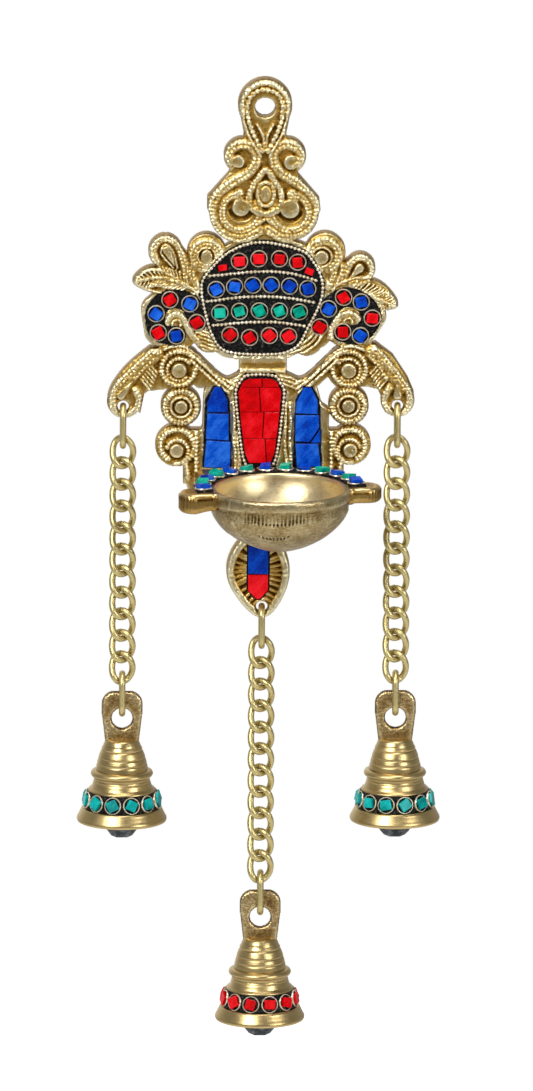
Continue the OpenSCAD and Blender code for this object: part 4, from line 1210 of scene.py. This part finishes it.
def build_bowl():
    """Turned oil bowl with rows of punched marks, and its ledge."""
    shell = BOWL_R + BOWL_WALL
    outer = [(BOWL_R + 0.5, 0.0), (shell - 0.5, 0.0), (shell, -0.3), (shell + 0.15, -0.9),
             (shell + 0.1, -1.8), (shell + 0.15, -2.8), (shell - 0.1, -3.3), (shell - 0.5, -3.7),
             (shell - 0.7, -4.2)]
    outer += hollow_curve(shell, BOWL_DEPTH, np.arange(12, 90, 1.0), 3.4)
    points, faces = lathe(outer + [(0, -BOWL_DEPTH)], 720)
    r, turn = polar(points)
    a, z = np.degrees(turn), points[:, 2]
    left = np.clip(-np.cos(np.radians(a + 10)), 0, 1) * np.clip(1 + z / BOWL_DEPTH, 0, 1)
    z -= 1.7 * left * np.clip(-z / 2.6, 0, 1)
    arc_len = np.radians(a) * np.maximum(r, 4)
    dent = 0.12 * grain(arc_len, z, 5.0, 31) + 0.06 * grain(arc_len, z, 1.6, 32)
    mark = np.abs(a - MARKS_AT)
    for drop, reach, pitch in MARK_ROWS:
        line = drop - 1.2 * np.cos(np.radians(mark / reach * 90))
        stroke = np.clip(1 - np.abs(z - line) / 0.9, 0, 1) * (mark < reach)
        dent -= MARK_D * stroke * (np.cos(np.radians(a * 360 / pitch)) > 0.1)
    fade = np.clip((-z - 3.6) / 1.5, 0, 1) * np.clip(r / 6, 0, 1)
    points[:, :2] *= (1 + dent * fade / np.maximum(r, 4))[:, None]
    middle = (BOWL_X, BOWL_Y, RIM_Z)
    add_piece("bowl_outside", (points + middle, faces), BOWL, "plaque", ["oil_bowl"], 50)
    inside = BOWL_DEPTH - BOWL_WALL
    inner = [(0, -inside)] + hollow_curve(BOWL_R, inside, np.arange(86, 3, -3.0))
    inner += [(BOWL_R - 0.05, -0.6), (BOWL_R + 0.15, -0.2), (BOWL_R + 0.5, 0.0)]
    add_piece("bowl_inside", moved(lathe(inner, 180), middle), INNER, "plaque", (), 60)
    build_ledge(middle)


def build_ledge(middle):
    """Ledge that joins the bowl to the plaque, with its ears and its strip of lac."""
    s = Sheet((-36, -7.5), (36, 37), 0.45)
    x, y = s.x, s.z
    ears = [disc(x, y, (m * (EAR_REACH - EAR_HALF), 0), EAR_HALF) for m in (-1, 1)]
    bar = polygon(x, y, [(-29, -EAR_HALF), (29, -EAR_HALF), (29, EAR_HALF), (-29, EAR_HALF)])
    shelf = np.maximum(disc(x, y, (0, 0), BOWL_OUT - 0.2), -y)
    neck = polygon(x, y, [(-23, 0), (23, 0), (23, 36), (-23, 36)])
    bowl = disc(x, y, (0, 0), BOWL_R + 0.9)
    wall = y * math.cos(BOWL_YAW) + x * math.sin(BOWL_YAW) - BOWL_OUT * math.cos(BOWL_YAW) - 0.3
    s.edge = np.maximum.reduce([np.minimum.reduce(ears + [bar, shelf, neck]), -bowl, wall])
    s.settle_edge()
    outside = np.abs(bowl) > 2.0
    fall = np.where(outside, worn(-s.edge, LEDGE_ROUND), 0)
    s.front = 0.1 * grain(x, y, 3.0, 41) + 0.05 * grain(x, y, 1.0, 42) - 0.02 - fall
    s.front = np.minimum(s.front, np.where(outside, 0.15, -0.1))
    back = -LEDGE_T + 0.12 * grain(x, y, 3.0, 43) + fall - EAR_SAG * np.clip((-x - 22) / 8, 0, 1)
    points, faces, share = s.mesh(back, True)
    add_piece("bowl_ledge", (turned(points, BOWL_YAW) + middle, faces), LEDGE, "plaque", (), 0,
              share)
    turns = np.radians(np.linspace(-6, 186, 140))
    rows = [(-3.1, 0), (-2.9, 0.8), (-1, 1), (1, 1), (2.8, 0.8), (3, 0)]
    strip = []
    for k, t in enumerate(turns):
        wave = 0.3 * math.sin(0.37 * k) + 0.2 * math.sin(1.13 * k)
        for j, (r, h) in enumerate(rows):
            d = LEDGE_ARC_R + r + (wave if j in (1, 4) else 0.5 * wave)
            height = h * LEDGE_LAC_T + (0.12 * math.sin(0.9 * k + 2 * j) if h else -0.1)
            strip.append((d * math.cos(t), d * math.sin(t), height))
    n, count = len(rows), len(strip)
    faces = skin(len(turns), n, flip=True) + [list(range(n))[::-1], list(range(count - n, count))]
    part = (turned(np.array(strip), BOWL_YAW) + middle, faces)
    add_piece("ledge_lac_strip", part, LAC, "plaque", ["ledge_lac"], 50)


def middle_of(node):
    low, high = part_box(node)
    return np.array((low + high) / 2) / MM


def build_chain(side):
    """Connectors and curb links of one chain."""
    t = np.radians(np.linspace(LINK_SEAM, LINK_SEAM + 352, 72))
    oval = np.c_[LINK_HALF_W * np.cos(t), -LINK_TWIST * np.sin(2 * t), LINK_HALF_L * np.sin(t)]
    link = tube(oval, WIRE_R, 16, False)
    half = CONNECTOR_L / 2 - CONNECTOR_R
    top = [(0, CONNECTOR_R * math.cos(a), half + CONNECTOR_R * math.sin(a))
           for a in np.linspace(0, math.pi, 19)]
    low = [(0, -y, -z) for _, y, z in top]
    connector = tube(top + low, WIRE_R, 16)
    count = sum(1 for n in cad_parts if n.startswith(side + "_link_"))
    names = [(side + "_top_link", connector), (side + "_bottom_link", connector)]
    names += [(f"{side}_link_{k:02d}", link) for k in range(1, count + 1)]
    for node, part in names:
        add_piece(node + "_wire", moved(part, middle_of(node)), CHAIN, node, [node], 60)


def build_bell(side):
    """Bell casting with its pin and loop, its lac band with ringed stones, and its clapper."""
    body, number = side + "_bell", SIDES.index(side)
    low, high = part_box(body)
    mid = np.array(((low[0] + high[0]) / 2, (low[1] + high[1]) / 2, high[2])) / MM
    rng = np.random.default_rng(60 + number)
    rows = []
    for (r0, z0), (r1, z1) in zip(BELL_PROFILE, BELL_PROFILE[1:]):
        steps = max(1, int(math.hypot(r1 - r0, z1 - z0) / 0.3))
        rows += [(r0 + (r1 - r0) * k / steps, z0 + (z1 - z0) * k / steps) for k in range(steps)]
    points, faces = lathe(rows + BELL_PROFILE[-1:], 144)
    r, a = polar(points)
    z = points[:, 2]
    lines = 0.012 * np.sin(z * 11) + 0.014 * np.sin(z * 5.3)
    dents = 0.035 * grain(a * 9 + 40 * number, z, 3.0, 51)
    grooves = sum(np.exp(-((z - at) / GROOVE_W) ** 2) for at in BELL_GROOVES)
    outside = np.interp(z, [-44, -34, -26, -17], [11.6, 9.8, 7.2, 3.6]) < r
    points[:, :2] *= (1 + (lines + dents - GROOVE_D * grooves * outside) / np.maximum(r, 5))[:, None]
    pin = on_pin(lathe([(0, PIN_HALF), (PIN_R, PIN_HALF), (PIN_R, -PIN_HALF), (0, -PIN_HALF)], 14))
    part = joined([(points + mid, faces), moved(pin, mid)])
    add_piece(body + "_casting", part, BELL, body, [body], 42)
    s = Sheet((-8, -LOOP_H - 0.5), (8, 0.8), 0.3)
    taper = polygon(s.x, s.z, [(-LOOP_W / 2, -7), (LOOP_W / 2, -7),
                               (LOOP_FOOT, -LOOP_H), (-LOOP_FOOT, -LOOP_H)])
    reach = LOOP_W / 2 - LOOP_ROUND
    top = polygon(s.x, s.z, [(-reach, -LOOP_ROUND), (-reach, -9),
                             (reach, -9), (reach, -LOOP_ROUND)]) - LOOP_ROUND
    s.edge = np.minimum(np.where(s.z > -8, top, 9), taper)
    s.edge = np.maximum(s.edge, -disc(s.x, s.z, (0, LOOP_HOLE_Z), LOOP_HOLE_R))
    s.settle_edge()
    skin_y = LOOP_T / 2 - worn(-s.edge, LOOP_WORN)
    s.front = skin_y + 0.09 * grain(s.x + 50 * number, s.z, 1.6, 52) - 0.05
    back = -skin_y + 0.09 * grain(s.x + 50 * number, s.z, 1.6, 53) + 0.05
    points, faces, share = s.mesh(back, True)
    add_piece(body + "_loop", (upright(points) + mid, faces), LOOP, body, (), 0, share)
    build_band(side, mid, rng)
    build_clapper(side, mid, rng)


def build_band(side, mid, rng):
    """Lac band of a bell with its ringed stones."""
    body = side + "_bell"
    slope = BAND_HALF * math.tan(BAND_TILT)
    profile = [(10.85, BAND_Z + BAND_HALF), (BAND_R - slope - 0.15, BAND_Z + 2.9)]
    profile += [(BAND_R - slope * t, BAND_Z + BAND_HALF * t) for t in np.linspace(0.92, -0.92, 9)]
    profile += [(BAND_R + slope - 0.15, BAND_Z - 2.9), (10.85, BAND_Z - BAND_HALF)]
    points, faces = lathe(profile, 160, True)
    r, a = polar(points)
    lumps = 0.16 * grain(a * 12 + 30, points[:, 2], 1.7, 54) + 0.1 * grain(a * 12 + 30, points[:, 2], 0.8, 55)
    points[:, :2] *= (1 + np.where(r > 11.2, lumps, 0) / r)[:, None]
    add_piece(body + "_lac_band", (points + mid, faces), LAC, body, [body + "_lac"], 0)
    rings, chips = [], []
    for i in range(BELL_STONES):
        t = 2 * math.pi * (i + 0.5) / BELL_STONES
        out = np.array((math.cos(t) * math.cos(BAND_TILT), math.sin(t) * math.cos(BAND_TILT),
                        math.sin(BAND_TILT)))
        right = np.array((-math.sin(t), math.cos(t), 0))
        axes = (right, np.cross(out, right), out)
        origin = mid + (BAND_R * math.cos(t), BAND_R * math.sin(t), BAND_Z) - 0.75 * out
        rings.append(seated(wire_ring(rng, BELL_RING_H), origin, axes))
        chips.append(seated(chip(rng), origin, axes, rng.uniform(-0.6, 0.6)))
    look, slot = (RED, "red_stone") if side == "center" else (TEAL, "turquoise_stone")
    add_piece(body + "_ring_wires", joined(rings), WIRE, body, (), 50)
    add_piece(body + "_chips", joined(chips), look, body, [body + "_settings"], 25)


def build_clapper(side, mid, rng):
    """Iron clapper: a rough six-sided bob on a rod with an eye round the pin."""
    node = side + "_clapper"
    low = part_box(node)[0][2] / MM - mid[2]
    rows = [(2.0, 13.7), (4.2, 11.2), (5.9, 8.4), (6.0, 5.6), (5.9, 3.0), (4.8, 1.4), (3.6, 0), (1.6, -0.02)]
    sides, points = 24, []
    for r, h in rows:
        for t in 2 * math.pi * np.arange(sides) / sides:
            d = r * (math.cos(math.pi / 6) / math.cos((t % (math.pi / 3)) - math.pi / 6))
            points.append((d * math.cos(t), d * math.sin(t), low + h))
    points = np.array(points)
    points += 0.12 * rng.uniform(-1, 1, points.shape) * (np.abs(points[:, 2] - low) > 0.5)[:, None]
    count = len(points)
    faces = skin(len(rows), sides, flip=True) + [list(range(sides)), list(range(count - sides, count))[::-1]]
    rod = lathe([(0, PIN_Z - 1.9), (0.85, PIN_Z - 1.9), (0.85, low + 9), (0, low + 9)], 14)
    eye = lathe([(1.1, 0.6), (1.4, 0.9), (2.0, 0.9), (2.3, 0.6), (2.3, -0.6), (2.0, -0.9), (1.4, -0.9),
                 (1.1, -0.6)], 28, True)
    part = joined([(points, faces), rod, on_pin(eye)])
    add_piece(node + "_bob", moved(part, mid), IRON, node, [node], 30)


def build_stage():
    """White studio: a pale floor, soft lamps and a camera in front of the lamp, a little above its middle."""
    scene = bpy.context.scene
    scene.view_settings.view_transform = "Standard"
    sky = Shader(bpy.data.worlds.new("studio"), "Background")
    scene.world = sky.owner
    split = sky.node("SeparateXYZ", _0=sky.place["Generated"]).outputs
    levels = [sky.ramp(sky.node("MapRange", _0=split[axis], _1=-1.0).outputs[0], *stops)
              for axis, stops in ROOM]
    rays = sky.node("LightPath").outputs
    seen = sky.math("MAXIMUM", rays["Is Camera Ray"], rays["Is Transmission Ray"])
    sky.set(Color=sky.blend(seen, sky.blend(1.0, *levels, "MULTIPLY"), WHITE), Strength=1.0)

    corners = [(x * FLOOR_HALF, y * FLOOR_HALF, FLOOR_Z) for x, y in ((-1, -1), (1, -1), (1, 1), (-1, 1))]
    floor_mesh = bpy.data.meshes.new("floor")
    floor_mesh.from_pydata(corners, [], [(0, 1, 2, 3)])
    floor = bpy.data.objects.new("floor", floor_mesh)
    scene.collection.objects.link(floor)
    pale = new_look("pale_floor")
    glow = pale.math("MULTIPLY", pale.node("LightPath").outputs["Is Camera Ray"], 0.8)
    pale.set(Base_Color=linear(0.85), Roughness=0.9, Emission_Color=WHITE, Emission_Strength=glow)
    floor_mesh.materials.append(pale.owner)

    target = Vector(TARGET)
    for name, place, size, power in LAMPS:
        lamp = bpy.data.lights.new(name, "AREA")
        lamp.size, lamp.energy = size, power
        holder = bpy.data.objects.new(name, lamp)
        holder.location = place
        holder.rotation_euler = (target - Vector(place)).to_track_quat("-Z", "Y").to_euler()
        scene.collection.objects.link(holder)
    camera = bpy.data.cameras.new("camera")
    camera.lens, camera.sensor_width, camera.clip_end = LENS, SENSOR, 40
    eye = bpy.data.objects.new("camera", camera)
    rise, turn = math.radians(CAMERA_RISE), math.radians(CAMERA_TURN)
    back = Vector((math.sin(turn) * math.cos(rise), -math.cos(turn) * math.cos(rise), math.sin(rise)))
    eye.location = target + CAMERA_AWAY * back
    eye.rotation_euler = back.to_track_quat("Z", "Y").to_euler()
    eye.rotation_euler.rotate_axis("Z", math.radians(CAMERA_TILT))
    scene.collection.objects.link(eye)
    scene.camera = eye


build_stage()
build_plaque()
build_lac()
build_beads()
build_settings()
build_bowl()
for side in SIDES:
    build_chain(side)
    build_bell(side)
